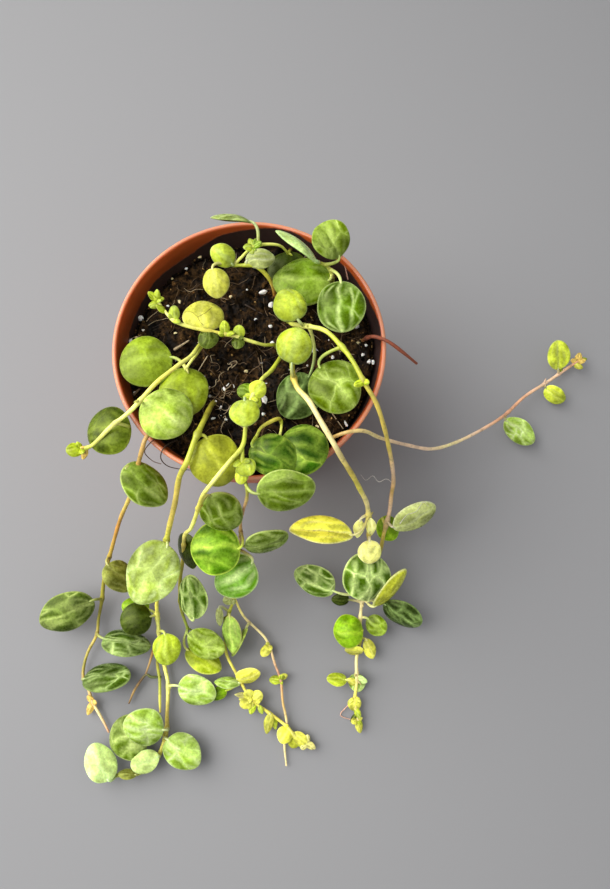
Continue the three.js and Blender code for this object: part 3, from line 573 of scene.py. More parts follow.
class Shells:
    """Closed shells gathered into one mesh, each with values at its points."""

    def __init__(self):
        self.places, self.faces, self.values, self.count = [], [], {}, 0

    def add(self, places, faces, **values):
        self.places.append(places)
        self.faces.extend(tuple(int(i) + self.count for i in face) for face in faces)
        for key, value in values.items():
            spread = np.broadcast_to(value, (len(places), 3))
            self.values.setdefault(key, []).append(spread)
        self.count += len(places)

    def build(self, name, material, slot, *nodes, rounded=True):
        """Make the object, in metres, hang it on the root and hide the CAD parts that it stands
        for.
        """
        mesh = bpy.data.meshes.new(name)
        mesh.from_pydata((np.vstack(self.places) * MM).tolist(), [], self.faces)
        for key, runs in self.values.items():
            store(mesh, key, np.vstack(runs))
        mesh.polygons.foreach_set("use_smooth", [rounded] * len(mesh.polygons))
        mesh.materials.append(material)
        piece = put(name, mesh)
        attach(piece, "root")
        if nodes:
            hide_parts(*nodes)
        return piece


def put(name, data):
    """A new object in the scene."""
    thing = bpy.data.objects.new(name, data)
    bpy.context.scene.collection.objects.link(thing)
    return thing


def store(mesh, name, vectors):
    """Keep a vector for each point of the mesh, for its material."""
    attribute = mesh.attributes.new(name, "FLOAT_VECTOR", "POINT")
    attribute.data.foreach_set("vector", vectors.ravel())


def ring_faces(rings, sides, start=0):
    """Quads between rings of points that follow each other."""
    faces = []
    for ring in range(rings - 1):
        low = start + ring * sides
        for i in range(sides):
            j = (i + 1) % sides
            faces.append((low + i, low + j, low + sides + j, low + sides + i))
    return faces


def closed_faces(rings, sides, first, last, start=0):
    """The same, closed by fans at the points numbered first and last."""
    faces = ring_faces(rings, sides, start)
    end = start + (rings - 1) * sides
    for i in range(sides):
        j = (i + 1) % sides
        faces.append((first, start + j, start + i))
        faces.append((end + i, end + j, last))
    return faces


def tube(path, radii, sides):
    """A closed round tube along a path, with a rounded end at both of its ends."""
    ahead = unit(np.gradient(path, axis=0))
    side = unit(np.cross(ahead[0], (0.31, 0.17, 0.94)))
    places = []
    angle = circle(sides)[:, None]
    for i, (place, radius) in enumerate(zip(path, radii)):
        side = unit(side - ahead[i] * (side @ ahead[i]))
        other = np.cross(ahead[i], side)
        spokes = radius * (np.cos(angle) * side + np.sin(angle) * other)
        past = 0.5 * radius * ahead[i]
        if i == 0:
            places.append(place - past + 0.6 * spokes)
        places.append(place + spokes)
        if i == len(path) - 1:
            places.append(place + past + 0.6 * spokes)
    rings = len(places)
    faces = ring_faces(rings, sides)
    faces.append(tuple(range(sides))[::-1])
    faces.append(tuple(range((rings - 1) * sides, rings * sides)))
    return np.vstack(places), faces


def add_tube(shells, path, radii, sides, tints):
    """Add a tube with a colour for each point of its path."""
    places, faces = tube(path, radii, sides)
    spread = np.repeat(tints, sides, axis=0)
    shells.add(places, faces, tint=np.vstack([spread[:sides], spread, spread[-sides:]]))


def pebble(dice, detail):
    """An uneven, chipped lump about 2 across, from one of a few seeded shapes."""
    shape = bmesh.new()
    bmesh.ops.create_icosphere(shape, subdivisions=detail, radius=1)
    places = np.array([tuple(point.co) for point in shape.verts])
    faces = [tuple(point.index for point in face.verts) for face in shape.faces]
    shape.free()
    swell = np.ones(len(places))
    for _ in range(5):
        towards = unit(dice.normal(size=3))
        swell += dice.uniform(-0.3, 0.2) * smooth((places @ towards - 0.2) / 0.6)
    places = places * swell[:, None]
    for _ in range(9):
        towards = unit(dice.normal(size=3))
        over = np.maximum(places @ towards - dice.uniform(0.55, 0.8), 0)
        places = places - over[:, None] * towards
    return places, faces


def random_turn(dice):
    turn, _ = np.linalg.qr(dice.normal(size=(3, 3)))
    return turn * np.sign(np.linalg.det(turn))


# Materials ------------

class Wire:
    """An output of a node, which is added, multiplied and so on like a number."""

    def __init__(self, shader, socket):
        self.shader, self.socket = shader, socket

    def __add__(self, other):
        return self.shader.math("ADD", self, other)

    def __sub__(self, other):
        return self.shader.math("SUBTRACT", self, other)

    def __rsub__(self, other):
        return self.shader.math("SUBTRACT", other, self)

    def __mul__(self, other):
        return self.shader.math("MULTIPLY", self, other)

    def __abs__(self):
        return self.shader.math("ABSOLUTE", self)

    __radd__, __rmul__ = __add__, __mul__


class Shader:
    """A material's node tree, with short calls that add to it."""

    def __init__(self, name, **sockets):
        self.material = bpy.data.materials.new(name)
        self.material.use_nodes = True
        self.tree = self.material.node_tree
        self.surface = self.tree.nodes["Principled BSDF"]
        for socket, value in sockets.items():
            self.surface.inputs[socket.replace("_", " ")].default_value = value
        self.place = self.node("TexCoord", output="Object")

    def node(self, kind, inputs=(), output=0, **settings):
        """Add a node, and return one of its outputs."""
        node = self.tree.nodes.new("ShaderNode" + kind)
        for key, value in settings.items():
            setattr(node, key, value)
        for key, value in dict(inputs).items():
            if isinstance(value, Wire):
                self.tree.links.new(value.socket, node.inputs[key])
            else:
                node.inputs[key].default_value = value
        return Wire(self, node.outputs[output])

    def math(self, operation, *values):
        return self.node("Math", enumerate(values), operation=operation)

    def largest(self, first, *others):
        for other in others:
            first = self.math("MAXIMUM", first, other)
        return first

    def noise(self, scale, detail=3.0, roughness=0.5, warp=0.0, place=None):
        inputs = {"Vector": place or self.place, "Scale": scale, "Detail": detail,
                  "Roughness": roughness, "Distortion": warp}
        return self.node("TexNoise", inputs, "Fac")

    def step(self, value, low, high, to_low=0.0, to_high=1.0):
        inputs = enumerate((value, low, high, to_low, to_high))
        return self.node("MapRange", inputs, interpolation_type="SMOOTHSTEP")

    def mix(self, factor, first, second):
        inputs = {0: factor, 6: first, 7: second}
        return self.node("Mix", inputs, 2, data_type="RGBA")

    def attribute(self, name, output="Color"):
        return self.node("Attribute", output=output, attribute_name=name)

    def split(self, vector):
        """The three numbers of a vector."""
        node = self.node("SeparateXYZ", {0: vector}).socket.node
        return [Wire(self, socket) for socket in node.outputs]

    def lighten(self, base, factor):
        """The colour times a factor that varies over the surface."""
        return self.node("VectorMath", {0: base, 3: factor}, operation="SCALE")

    def vary(self, base, value, low, high, darkest, lightest):
        """The colour made darker where a value is low and lighter where it is high."""
        return self.lighten(base, self.step(value, low, high, darkest, lightest))

    def bump(self, height, distance, strength=1.0, under=None):
        inputs = {"Height": height, "Distance": distance, "Strength": strength}
        if under is not None:
            inputs["Normal"] = under
        return self.node("Bump", inputs)

    def finish(self, base, gloss, relief):
        for socket, value in {"Base Color": base, "Roughness": gloss, "Normal": relief}.items():
            self.tree.links.new(value.socket, self.surface.inputs[socket])
        return self.material


def leaf_material():
    """Fleshy leaf: pale veins round darker islands that bulge, a thin pale edge and painted shade
    beneath.
    """
    shader = Shader("leaf_flesh", Subsurface_Weight=0.12, Subsurface_Scale=MM,
                    Subsurface_Radius=(0.7, 1.0, 0.2), Specular_IOR_Level=0.28,
                    Specular_Tint=(0.88, 1.0, 0.4, 1))
    u, v, reach = shader.split(shader.attribute("leaf_place", "Vector"))
    veins, width, net = shader.split(shader.attribute("leaf_veins", "Vector"))
    mottle, edge, seed = shader.split(shader.attribute("leaf_marks", "Vector"))
    drift = shader.noise(170, 2)
    wobble = drift - 0.5
    lines, halo, island = leaf_veins(shader, u + 0.5 * wobble, v - 0.35 * wobble, width, net,
                                     seed)
    fade = shader.step(shader.noise(190, 2, 0.5, 0.5), 0.36, 0.58, 0.45, 1.0)
    lines = lines * veins * fade
    cells = shader.noise(1500, 4, 0.6)
    patches = shader.noise(300, 3, 0.55, 0.3)
    rim = shader.step(abs(reach), 0.91, 1.0) * edge
    specks = shader.step(cells, 0.5, 0.66) * mottle
    blotch = shader.step(patches, 0.42, 0.7) * mottle
    pale = shader.largest(lines, rim) + 0.05 * specks
    base = shader.lighten(shader.attribute("blade_tint"), 0.8 * halo + 0.7 * blotch + 1)
    base = shader.mix(pale, base, shader.attribute("vein_tint"))
    base = shader.vary(base, cells, 0.35, 0.65, 0.84, 1.12)
    base = shader.vary(base, drift, 0.35, 0.65, 0.76, 1.14)
    base = shader.lighten(base, 0.6 * (island - 0.5) * net + 1)
    # Painted shade: the underside is drawn darker, standing in for shade on the leaves' lower
    # edges
    base = shader.vary(base, reach, -0.05, 0.05, 0.7, 1.0)
    relief = shader.bump(1 - lines, 0.00009, 0.7)
    relief = shader.bump(cells, 0.00002, 0.5, relief)
    gloss = shader.step(cells, 0.3, 0.7, 0.24, 0.36)
    return shader.finish(base, gloss, relief)


def leaf_veins(shader, u, v, width, net, seed):
    """How strong a leaf's veins are and how near, and a random value for each island.

    A midrib, two side veins and a network that is nearly the same on both halves, as soft
    bands with a thin, broken line along the midrib and the network.
    """
    bulge = shader.math("SQRT", shader.largest(1 - u * u, 0.06))
    off_middle = abs(v)
    off_side = abs(off_middle - SIDE_VEIN * bulge)
    half = 0.14 * shader.math("SIGN", v) + seed
    spot = shader.node("CombineXYZ", {0: 0.78 * u, 1: off_middle, 2: half})
    islands = {"Vector": spot, "Scale": 1.25, "Randomness": 0.85}
    gap = shader.node("TexVoronoi", islands, "Distance", feature="DISTANCE_TO_EDGE")
    island = shader.split(shader.node("TexVoronoi", islands, "Color"))[0]
    breaks = shader.noise(260, 2)
    midrib = shader.step(off_middle, 0.0, 0.65 * width, 0.75, 0)
    sides = shader.step(off_side, 0.0, 0.45 * width, 0.6, 0) \
        * shader.step(breaks, 0.42, 0.62, 1, 0.25)
    uneven = width * shader.step(breaks, 0.3, 0.7, 0.3, 0.85)
    between = shader.step(gap, 0.0, uneven, 0.7, 0) * net
    core = shader.largest(shader.step(gap, 0.015, 0.075, 1, 0) * net,
                          shader.step(off_middle, 0.02, 0.085, 1, 0))
    core = core * shader.step(breaks, 0.4, 0.66, 1.1, 0.4)
    nearest = shader.math("MINIMUM", off_middle, gap)
    halo = shader.step(nearest, 0.0, 0.5 * width + 0.12, 1, 0)
    return shader.largest(core, midrib, sides, between), halo, island


def stem_material():
    """Fleshy stem: its own colours with faint darker streaks and flecks."""
    shader = Shader("stem_flesh", Subsurface_Weight=0.12, Subsurface_Scale=MM,
                    Subsurface_Radius=(0.8, 0.8, 0.3), Specular_IOR_Level=0.45)
    flecks = shader.noise(1100, 3, 0.6)
    base = shader.vary(shader.attribute("tint"), shader.noise(330, 2), 0.3, 0.7, 0.84, 1.15)
    base = shader.vary(base, flecks, 0.28, 0.5, 0.72, 1.05)
    gloss = shader.step(flecks, 0.3, 0.7, 0.3, 0.46)
    relief = shader.bump(flecks, 0.00004, 0.6)
    return shader.finish(base, gloss, relief)


def dry_material():
    shader = Shader("dry_fibre")
    grain = shader.noise(1600, 4, 0.7)
    base = shader.vary(shader.attribute("tint"), grain, 0.25, 0.75, 0.6, 1.3)
    gloss = shader.step(grain, 0.3, 0.7, 0.6, 0.9)
    relief = shader.bump(grain, 0.00006)
    return shader.finish(base, gloss, relief)


def compost_material():
    """Moist compost: black-brown crumbs with a damp glint here and there."""
    shader = Shader("compost", Specular_IOR_Level=0.1)
    grain = shader.noise(900, 6, 0.7)
    clods = shader.noise(230, 4, 0.6)
    base = shader.vary(shader.attribute("tint"), grain, 0.38, 0.7, 0.12, 2.5)
    base = shader.vary(base, clods, 0.34, 0.64, 0.16, 1.6)
    gloss = shader.step(clods, 0.35, 0.65, 0.55, 0.95)
    relief = shader.bump(grain, 0.00025)
    return shader.finish(base, gloss, relief)


def perlite_material():
    shader = Shader("perlite_grain", Subsurface_Weight=0.1, Subsurface_Scale=MM)
    pores = shader.noise(1900, 4, 0.7)
    base = shader.vary(shader.attribute("tint"), pores, 0.3, 0.6, 0.72, 1.05)
    gloss = shader.step(pores, 0.3, 0.7, 0.7, 0.95)
    relief = shader.bump(pores, 0.00012)
    return shader.finish(base, gloss, relief)


def plastic_material():
    """Thin moulded plastic: a painted highlight on the lip, fine moulding marks, compost stains
    inside and painted shade down the inside of the wall.
    """
    shader = Shader("pot_plastic", Subsurface_Weight=0.3, Subsurface_Scale=MM,
                    Subsurface_Radius=(2.0, 0.5, 0.15))
    lip, stain, painted_inside_shade = shader.split(shader.attribute("highlight_stain_shade", "Vector"))
    grain = shader.noise(1400, 3, 0.6)
    smear = shader.noise(260, 5, 0.7, 0.6)
    x, y, z = shader.split(shader.place)
    flattened = shader.node("CombineXYZ", {0: x, 1: y, 2: 9.0 * z})
    lines = shader.noise(160, 2, place=flattened)
    dirt = shader.step(stain + 0.9 * smear, 0.62, 1.05)
    # Painted highlight: the lip is mixed towards a paler orange
    base = shader.mix(lip, paint(POT_ORANGE), paint(LIP_HIGHLIGHT_ORANGE))
    base = shader.vary(base, shader.noise(90, 3), 0.3, 0.7, 0.9, 1.1)
    base = shader.vary(base, lines, 0.3, 0.7, 0.93, 1.05)
    # Painted shade: the inside of the wall is darkened, down to 0.42 of its colour deep inside
    base = shader.mix(dirt, shader.lighten(base, 1 - 0.58 * painted_inside_shade), paint(STAIN_BROWN))
    gloss = shader.step(grain, 0.3, 0.7, 0.34, 0.44) + 0.35 * dirt
    relief = shader.bump(lines, 0.00004, 0.6)
    relief = shader.bump(grain, 0.00002, 0.5, relief)
    relief = shader.bump(dirt, 0.00015, 0.6, relief)
    return shader.finish(base, gloss, relief)


def floor_material():
    return Shader("studio_floor", Roughness=0.9, Base_Color=paint(FLOOR_GREY)).material


# Pot ------------

def inner_radius(height):
    return INNER_BASE + (INNER_TOP - INNER_BASE) * (height - FLOOR) / INNER_HEIGHT


def pot_profile():
    """Radius, height and how much painted highlight the lip takes, from the underside up and down
    the inside.
    """
    corner = [(0, 0, 0), (12, 0, 0), (19.2, 0, 0), (19.6, 0.1, 0), (19.9, 0.35, 0),
              (20.02, 0.7, 0)]
    slope = (RIM_RADIUS - 1.6 - BASE_RADIUS) / BAND_BOTTOM
    wall = [(BASE_RADIUS + slope * z, z, 0) for z in np.arange(2, BAND_BOTTOM, 1.0)]
    band = [(28.36, 41.9, 0), (28.6, 42.15, 0), (29.05, 42.3, 0), (29.22, 42.55, 0)]
    band += [(29.2 + 0.75 * (z - 42.5) / 7, z, 0) for z in np.arange(43.5, 49, 0.75)]
    lip = [(29.93, 49.1, 0.4), (30, 49.4, 0.8), (29.97, 49.65, 1), (29.86, 49.87, 1),
           (29.68, 49.98, 1), (29.45, 50, 1), (29.22, 49.96, 1), (29.05, 49.84, 1),
           (28.93, 49.65, 0.9), (28.88, 49.4, 0.5)]
    inside = [(inner_radius(z), z, 0) for z in np.arange(49, FLOOR + 0.5, -0.75)]
    bottom = [(INNER_BASE - 0.1, FLOOR + 0.1, 0), (INNER_BASE - 0.4, FLOOR, 0),
              (12, FLOOR, 0), (0, FLOOR, 0)]
    return corner + wall + band + lip + inside + bottom


def stain_limit(angle):
    """How high the compost has stained the inside of the wall: most at the back right."""
    return 45.0 + 4.2 * smooth((np.cos(angle - math.radians(30)) + 0.45) / 1.1) \
        + 0.6 * np.sin(5 * angle + 1) + 0.35 * np.sin(11 * angle)


def build_pot(material):
    profile = pot_profile()
    angle = circle(POT_SIDES)
    places = [level_ring(radius, angle, height) for radius, height, _ in profile[1:-1]]
    rings = len(places)
    under, over = rings * POT_SIDES, rings * POT_SIDES + 1
    places.append(np.array([(0, 0, 0), (0, 0, FLOOR)], float))
    shells = Shells()
    shells.add(np.vstack(places), closed_faces(rings, POT_SIDES, under, over))
    pot = shells.build("pot_moulded", material, "pot_plastic", "pot")
    pierce(pot)
    mark_highlight_stain_shade(pot.data, profile)


def mark_highlight_stain_shade(mesh, profile):
    """Mark the pot's points: how much of each takes the lip's painted highlight, how much is
    stained by compost, and how much painted shade darkens it inside the wall.
    """
    places = np.empty(3 * len(mesh.vertices))
    mesh.vertices.foreach_get("co", places)
    x, y, z = places.reshape(-1, 3).T / MM
    radius, angle = np.hypot(x, y), np.arctan2(y, x)
    rounding = [(height, share) for _, height, share in profile if height > LIP_BOTTOM]
    # Painted highlight on the lip's rounded top, strongest at its crown
    lip = np.interp(z, *zip(*sorted(rounding[:6])))
    inside = radius < inner_radius(z) + 0.12
    stain = smooth((stain_limit(angle) - z) / 2.2 + 0.3) * inside
    rolled_in = smooth((29.4 - radius) / 0.4) * (z > LIP_BOTTOM)
    lip = lip * (1 - rolled_in)
    # Painted shade inside the wall and under the rolled-in lip, growing stronger further down
    shaded = np.maximum(inside, rolled_in) * (0.42 + 0.58 * smooth((49.6 - z) / 4))
    highlight_stain_shade = np.stack([np.where(z > LIP_BOTTOM, lip, 0), stain, shaded], 1)
    store(mesh, "highlight_stain_shade", highlight_stain_shade)


def pierce(pot):
    """Cut the drain holes through the floor."""
    drills = bpy.data.meshes.new("drills")
    shape = bmesh.new()
    for i in range(DRAIN_COUNT):
        angle = i * 2 * math.pi / DRAIN_COUNT
        place = Vector((math.cos(angle), math.sin(angle), 0)) * DRAIN_CIRCLE * MM
        bmesh.ops.create_cone(shape, cap_ends=True, segments=32,
                              radius1=DRAIN_RADIUS * MM, radius2=DRAIN_RADIUS * MM,
                              depth=6 * MM, matrix=Matrix.Translation(place))
    shape.to_mesh(drills)
    shape.free()
    tool = put("drills", drills)
    cut = pot.modifiers.new("drain", "BOOLEAN")
    cut.operation = "DIFFERENCE"
    cut.object = tool
    bpy.context.view_layer.update()
    pierced = pot.evaluated_get(bpy.context.evaluated_depsgraph_get())
    mesh = bpy.data.meshes.new_from_object(pierced)
    pot.modifiers.remove(cut)
    pot.data = mesh
    bpy.data.objects.remove(tool)


# Soil ------------

def soil_height(x, y):
    height = SOIL_LEVEL + SOIL_TILT * (x - y) / (math.sqrt(2) * RIM_RADIUS)
    for size, along_x, along_y, phase in SOIL_WAVES:
        height = height + size * np.sin(along_x * x + along_y * y + phase)
    return height


def crumbly_height(x, y):
    """The soil's height with its clods and crumbs."""
    dice = np.random.default_rng(11)
    rough = 0.55 * lumps(x, y, dice, 6) + 0.42 * lumps(x, y, dice, 2.2, 2)
    return soil_height(x, y) + rough + 0.16 * lumps(x, y, dice, 0.9, 2)


def ground(x, y):
    """The height of the soil at one place."""
    return float(crumbly_height(np.array([x]), np.array([y]))[0])


def build_soil(material):
    dice = np.random.default_rng(12)
    angle = circle(SOIL_SIDES)
    edge = inner_radius(SOIL_LEVEL) - 0.35 \
        - 0.45 * np.abs(lumps(8 * np.cos(angle), 8 * np.sin(angle), dice, 2.0))
    places = []
    for share in np.arange(1, SOIL_RINGS + 1) / SOIL_RINGS:
        x, y = edge * share * np.cos(angle), edge * share * np.sin(angle)
        height = crumbly_height(x, y) - 0.9 * smooth((share - 0.965) / 0.035)
        places.append(np.stack([x, y, height], 1))
    base = FLOOR + 0.4
    places += [level_ring(inner_radius(height) - 0.4, angle, height)
               for height in (41, 20, base)]
    rings = len(places)
    top, bottom = rings * SOIL_SIDES, rings * SOIL_SIDES + 1
    places.append(np.array([(0, 0, ground(0, 0)), (0, 0, base)]))
    faces = [face[::-1] for face in closed_faces(rings, SOIL_SIDES, top, bottom)]
    shells = Shells()
    shells.add(np.vstack(places), faces, tint=colour(SOIL_BROWN))
    shells.build("soil_body", material, "potting_soil", "soil")


def on_disc(dice, reach=LOOSE_REACH):
    """A random place on the soil."""
    radius, angle = reach * math.sqrt(dice.uniform()), dice.uniform(0, 2 * math.pi)
    return radius * math.cos(angle), radius * math.sin(angle)


def at_wall(dice):
    """A random place on the soil beside the pot's wall."""
    angle = dice.uniform(0, 2 * math.pi)
    return WALL_REACH * math.cos(angle), WALL_REACH * math.sin(angle)


def build_crumbs(material):
    """Crumbs and bark bits: most near black, some brown, a few ochre."""
    dice = np.random.default_rng(13)
    coarse = [pebble(dice, 2) for _ in range(3)]
    fine = [pebble(dice, 1) for _ in range(7)]
    tints = [colour(code) for code in CRUMB_TINTS]
    shells = Shells()
    for index in range(CRUMB_COUNT):
        big = index < BIG_CRUMB_COUNT
        form, faces = coarse[index % 3] if big else fine[index % 7]
        x, y = at_wall(dice) if index % 5 == 0 else on_disc(dice)
        size = dice.uniform(0.7, 1.25) if big else dice.uniform(0.22, 0.6)
        scale = size * dice.uniform(0.45, 1, 3)
        spot = np.array([x, y, ground(x, y) + 0.25 * scale.mean()])
        places = (form * scale) @ random_turn(dice).T + spot
        shells.add(places, faces, tint=tints[dice.choice(len(tints), p=CRUMB_SHARES)])
    shells.build("soil_crumbs", material, "potting_soil", rounded=False)


def build_perlite(material):
    dice = np.random.default_rng(14)
    forms = [pebble(dice, 2) for _ in range(6)]
    strays = [(*on_disc(dice), dice.uniform(0.3, 0.6), dice.uniform(0.25, 0.45), 0)
              for _ in range(STRAY_GRAIN_COUNT)]
    shells = Shells()
    for index, (x, y, length, width, heading) in enumerate(GRAINS + strays):
        form, faces = forms[index % 6]
        turn = np.array(Matrix.Rotation(math.radians(heading), 3, "Z"))
        scale = np.array([length, width, width * 0.9]) * 0.58
        places = (form * scale) @ turn.T + np.array([x, y, ground(x, y) + 0.35 * width])
        warm = dice.uniform() < 0.2
        shells.add(places, faces, tint=colour(PERLITE_WARM if warm else PERLITE_WHITE))
    shells.build("perlite", material, "perlite", rounded=False)


def thread(shells, path, radius, tint, sides=5):
    places, faces = tube(path, np.linspace(radius, radius * 0.5, len(path)), sides)
    shells.add(places, faces, tint=tint)


def curl(dice, x, y, length, wiggle, lift):
    """The path of a fibre that lies on the soil and curls up a little in its middle."""
    count = max(6, int(length / 0.45))
    heading = dice.uniform(0, 2 * math.pi) + np.cumsum(dice.normal(0, wiggle, count))
    steps = length / count
    xs = x + np.cumsum(np.cos(heading)) * steps
    ys = y + np.cumsum(np.sin(heading)) * steps
    fit = np.minimum(1, ROOT_REACH / np.hypot(xs, ys))
    xs, ys = xs * fit, ys * fit
    arch = lift * np.sin(np.linspace(0, math.pi, count))
    path = np.stack([xs, ys, crumbly_height(xs, ys) + 0.12 + arch], 1)
    return through(path[::2] if count > 8 else path, 0.3)


def build_fibres(material):
    """Fine roots and bark slivers on the soil, and the loose threads."""
    dice = np.random.default_rng(15)
    shells = Shells()
    pale, tan, brown = colour(PALE_ROOT), colour(TAN_ROOT), colour(BROWN_ROOT)
    for index in range(ROOT_COUNT):
        x, y = on_disc(dice, ROOT_START)
        tint = (pale, tan, brown, brown, tan)[index % 5]
        path = curl(dice, x, y, dice.uniform(2, 7), 0.22, dice.uniform(0, 0.6))
        thread(shells, path, dice.uniform(0.035, 0.09), tint)
    for index in range(TANGLE_COUNT):
        x, y = np.array(TANGLE_MIDDLE) + dice.normal(0, TANGLE_SPREAD)
        path = curl(dice, x, y, dice.uniform(2, 6), 0.6, dice.uniform(0.3, 1.6))
        thread(shells, path, dice.uniform(0.06, 0.12), (pale, tan)[index % 2])
    for (x1, y1), (x2, y2), radius, code in SLIVERS:
        low, high = np.array([ground(x1, y1), ground(x2, y2)]) + radius + 0.3
        path = np.linspace((x1, y1, low), (x2, y2, high), 9)
        thread(shells, path, radius, colour(code), 7)
    for code, radius, points in THREADS:
        thread(shells, through(points, 0.35), radius, colour(code), 7)
    shells.build("soil_fibres", material, "dry_stalk")


# Stems and leaves ------------

def vein_height(u, v):
    """Where the main veins run over a blade, 1 on a vein and 0 away from it."""
    side = np.abs(np.abs(v) - SIDE_VEIN * np.sqrt(np.maximum(1 - u * u, 0.06)))
    return np.maximum(1 - smooth(np.abs(v) / 0.14), 0.6 - 0.6 * smooth(side / 0.12))


class Blade:
    """A leaf's blade: where it stands, and its surface."""

    def __init__(self, x, y, z, heading, pitch, roll, length, width, tone, fold=0,
                 plumpness=BLADE_THICKNESS, *, dice):
        turn = Matrix.Rotation(math.radians(heading), 3, "Z") \
            @ Matrix.Rotation(-math.radians(pitch), 3, "Y") \
            @ Matrix.Rotation(math.radians(roll), 3, "X")
        self.turn = np.array(turn)
        self.middle = np.array([x, y, z], float)
        self.length, self.width, self.fold = length, width, fold
        self.plump = plumpness > BLADE_THICKNESS
        self.half = max(THINNEST_BLADE, plumpness * width) / 2
        self.tone = TONES[tone]
        self.pinch = max(0, 1.3 * (0.74 - width / length))
        self.phases = dice.uniform(0, 2 * math.pi, 8)
        self.shade = dice.uniform(0.94, 1.06)
        self.base = self.middle + self.turn @ (-0.4 * length, 0, 0.04 * width)

    def stand_on(self, place):
        """Move the blade so that its base is at the place."""
        self.middle = self.middle + place - self.base
        self.base = place

    def warped(self, u, v):
        """The coordinates that the veins follow, a little different on every leaf."""
        phase = self.phases
        along_blade = u + 0.08 * np.sin(2.6 * v + phase[0]) \
            + 0.04 * np.sin(5.3 * v + 2 * u + phase[1]) + 0.1 * math.sin(phase[4])
        across_blade = v + 0.1 * np.sin(2.1 * u + phase[2]) \
            + 0.04 * np.sin(5.7 * u + 2 * v + phase[3]) + 0.06 * math.sin(phase[5])
        return along_blade, across_blade

    def surface(self, u, v, side):
        """The places of points on the blade; side is 1 on top, -1 beneath, 0 at the rim."""
        reach = np.hypot(u, v)
        angle = np.arctan2(v, u)
        ahead = np.cos(angle)
        first, second = self.phases[6:]
        outline = np.where(ahead > 0, 1 + 0.07 * ahead ** 6, 1 - 0.05 * ahead ** 4) \
            * (1 + 0.022 * np.sin(2 * angle + first) + 0.018 * np.sin(3 * angle + second)
               + 0.01 * np.sin(5 * angle + first + second))
        x = outline * u * self.length / 2
        y = outline * v * self.width / 2 * (1 - self.pinch * u * u)
        thick = self.half * np.sqrt(np.maximum(1 - reach ** (2.2 if self.plump else 3.2), 0))
        z = BLADE_DOME * self.width * (1 - reach ** 2) + self.fold * np.abs(y) + side * thick
        z = z + 0.012 * self.width * np.sin(3 * angle + first) * reach ** 3
        groove = 0.008 * self.width * vein_height(*self.warped(u, v)) * (1 - reach ** 4)
        z = z - groove * np.where(side > 0, 1, -0.6) * (0.4 if self.plump else 1)
        places = self.middle + np.stack([x, y, z], -1) @ self.turn.T
        places[..., 2] = np.maximum(places[..., 2], LOWEST)
        return places


def add_blade(shells, blade):
    sides, rings = (64, 16) if blade.length > 7 else (36, 9)
    if blade.length < 2.6:
        sides, rings = 18, 5
    shares = np.sin(math.pi / 2 * np.arange(1, rings + 1) / rings)
    steps = [*shares, *shares[-2::-1]]
    parts = [1] * (rings - 1) + [0] + [-1] * (rings - 1)
    reach = np.concatenate([[0], np.repeat(steps, sides), [0]])
    side = np.concatenate([[1], np.repeat(parts, sides), [-1]])
    angle = np.concatenate([[0], np.tile(circle(sides), len(steps)), [0]])
    u, v = reach * np.cos(angle), reach * np.sin(angle)
    faces = closed_faces(len(steps), sides, 0, len(u) - 1, 1)
    signed = np.where(side == 0, 1, side * reach)
    signed[0], signed[-1] = 0.01, -0.01
    add_leaf_shell(shells, blade, blade.surface(u, v, side), [face[::-1] for face in faces],
                   np.stack([*blade.warped(u, v), signed], -1))


def add_leaf_shell(shells, blade, places, faces, leaf_place):
    """Add a closed shell of a leaf, with painted shade: a little darker towards one side, in a
    direction that differs from leaf to leaf.
    """
    blade_colour, vein_colour, veins, width, cross, mottle, edge = blade.tone
    across = leaf_place[:, :2] @ (math.cos(blade.phases[1]), math.sin(blade.phases[1]))
    # Painted shade: the blade and vein colours darken towards one side, as light falling across
    # the leaf would make them
    painted_shade_ramp = blade.shade * (1 + 0.26 * np.clip(across, -1, 1))[:, None]
    shells.add(places, faces, leaf_place=leaf_place, leaf_veins=(veins, width, cross),
               leaf_marks=(mottle * smooth(blade.length / 9), edge, blade.phases[0]),
               blade_tint=colour(blade_colour) * painted_shade_ramp, vein_tint=colour(vein_colour) * painted_shade_ramp)


def add_petiole(shells, start, blade, tint):
    """Add a leaf's stalk, which bends from the stem into the base of the blade."""
    bend = blade.base - 0.5 * np.linalg.norm(blade.base - start) * blade.turn[:, 0]
    t = np.linspace(0, 1, 13)[:, None]
    path = evenly((1 - t) ** 2 * start + 2 * t * (1 - t) * bend + t ** 2 * blade.base, 0.6)
    t = np.linspace(0, 1, len(path))
    radii = PETIOLE_RADIUS * (1 + 0.35 * np.exp(-(t / 0.12) ** 2) - 0.3 * smooth((t - 0.6) / 0.4))
    tints = tint + (colour(blade.tone[1]) - tint) * t[:, None]
    add_tube(shells, path, radii, PETIOLE_SIDES, tints)


def add_line(shells, radius, colours, path, nodes, dice):
    """A stem with a swelling at each of its nodes, and a thin tip."""
    lengths = travelled(path)
    swell = np.zeros(len(path))
    for node in nodes:
        swell = np.maximum(swell, np.exp(-((lengths - lengths[node]) / 0.75) ** 2))
    left = lengths[-1] - lengths
    radii = radius * (1 + 0.42 * swell) * (0.72 + 0.28 * smooth(left / 6))
    radii = radii * (1 + 0.05 * np.sin(lengths * 0.9 + dice.uniform(0, 6)))
    tints = along(colours, len(path)) * (1 - 0.22 * swell[:, None])
    add_tube(shells, path, radii, STEM_SIDES, tints)
    return tints


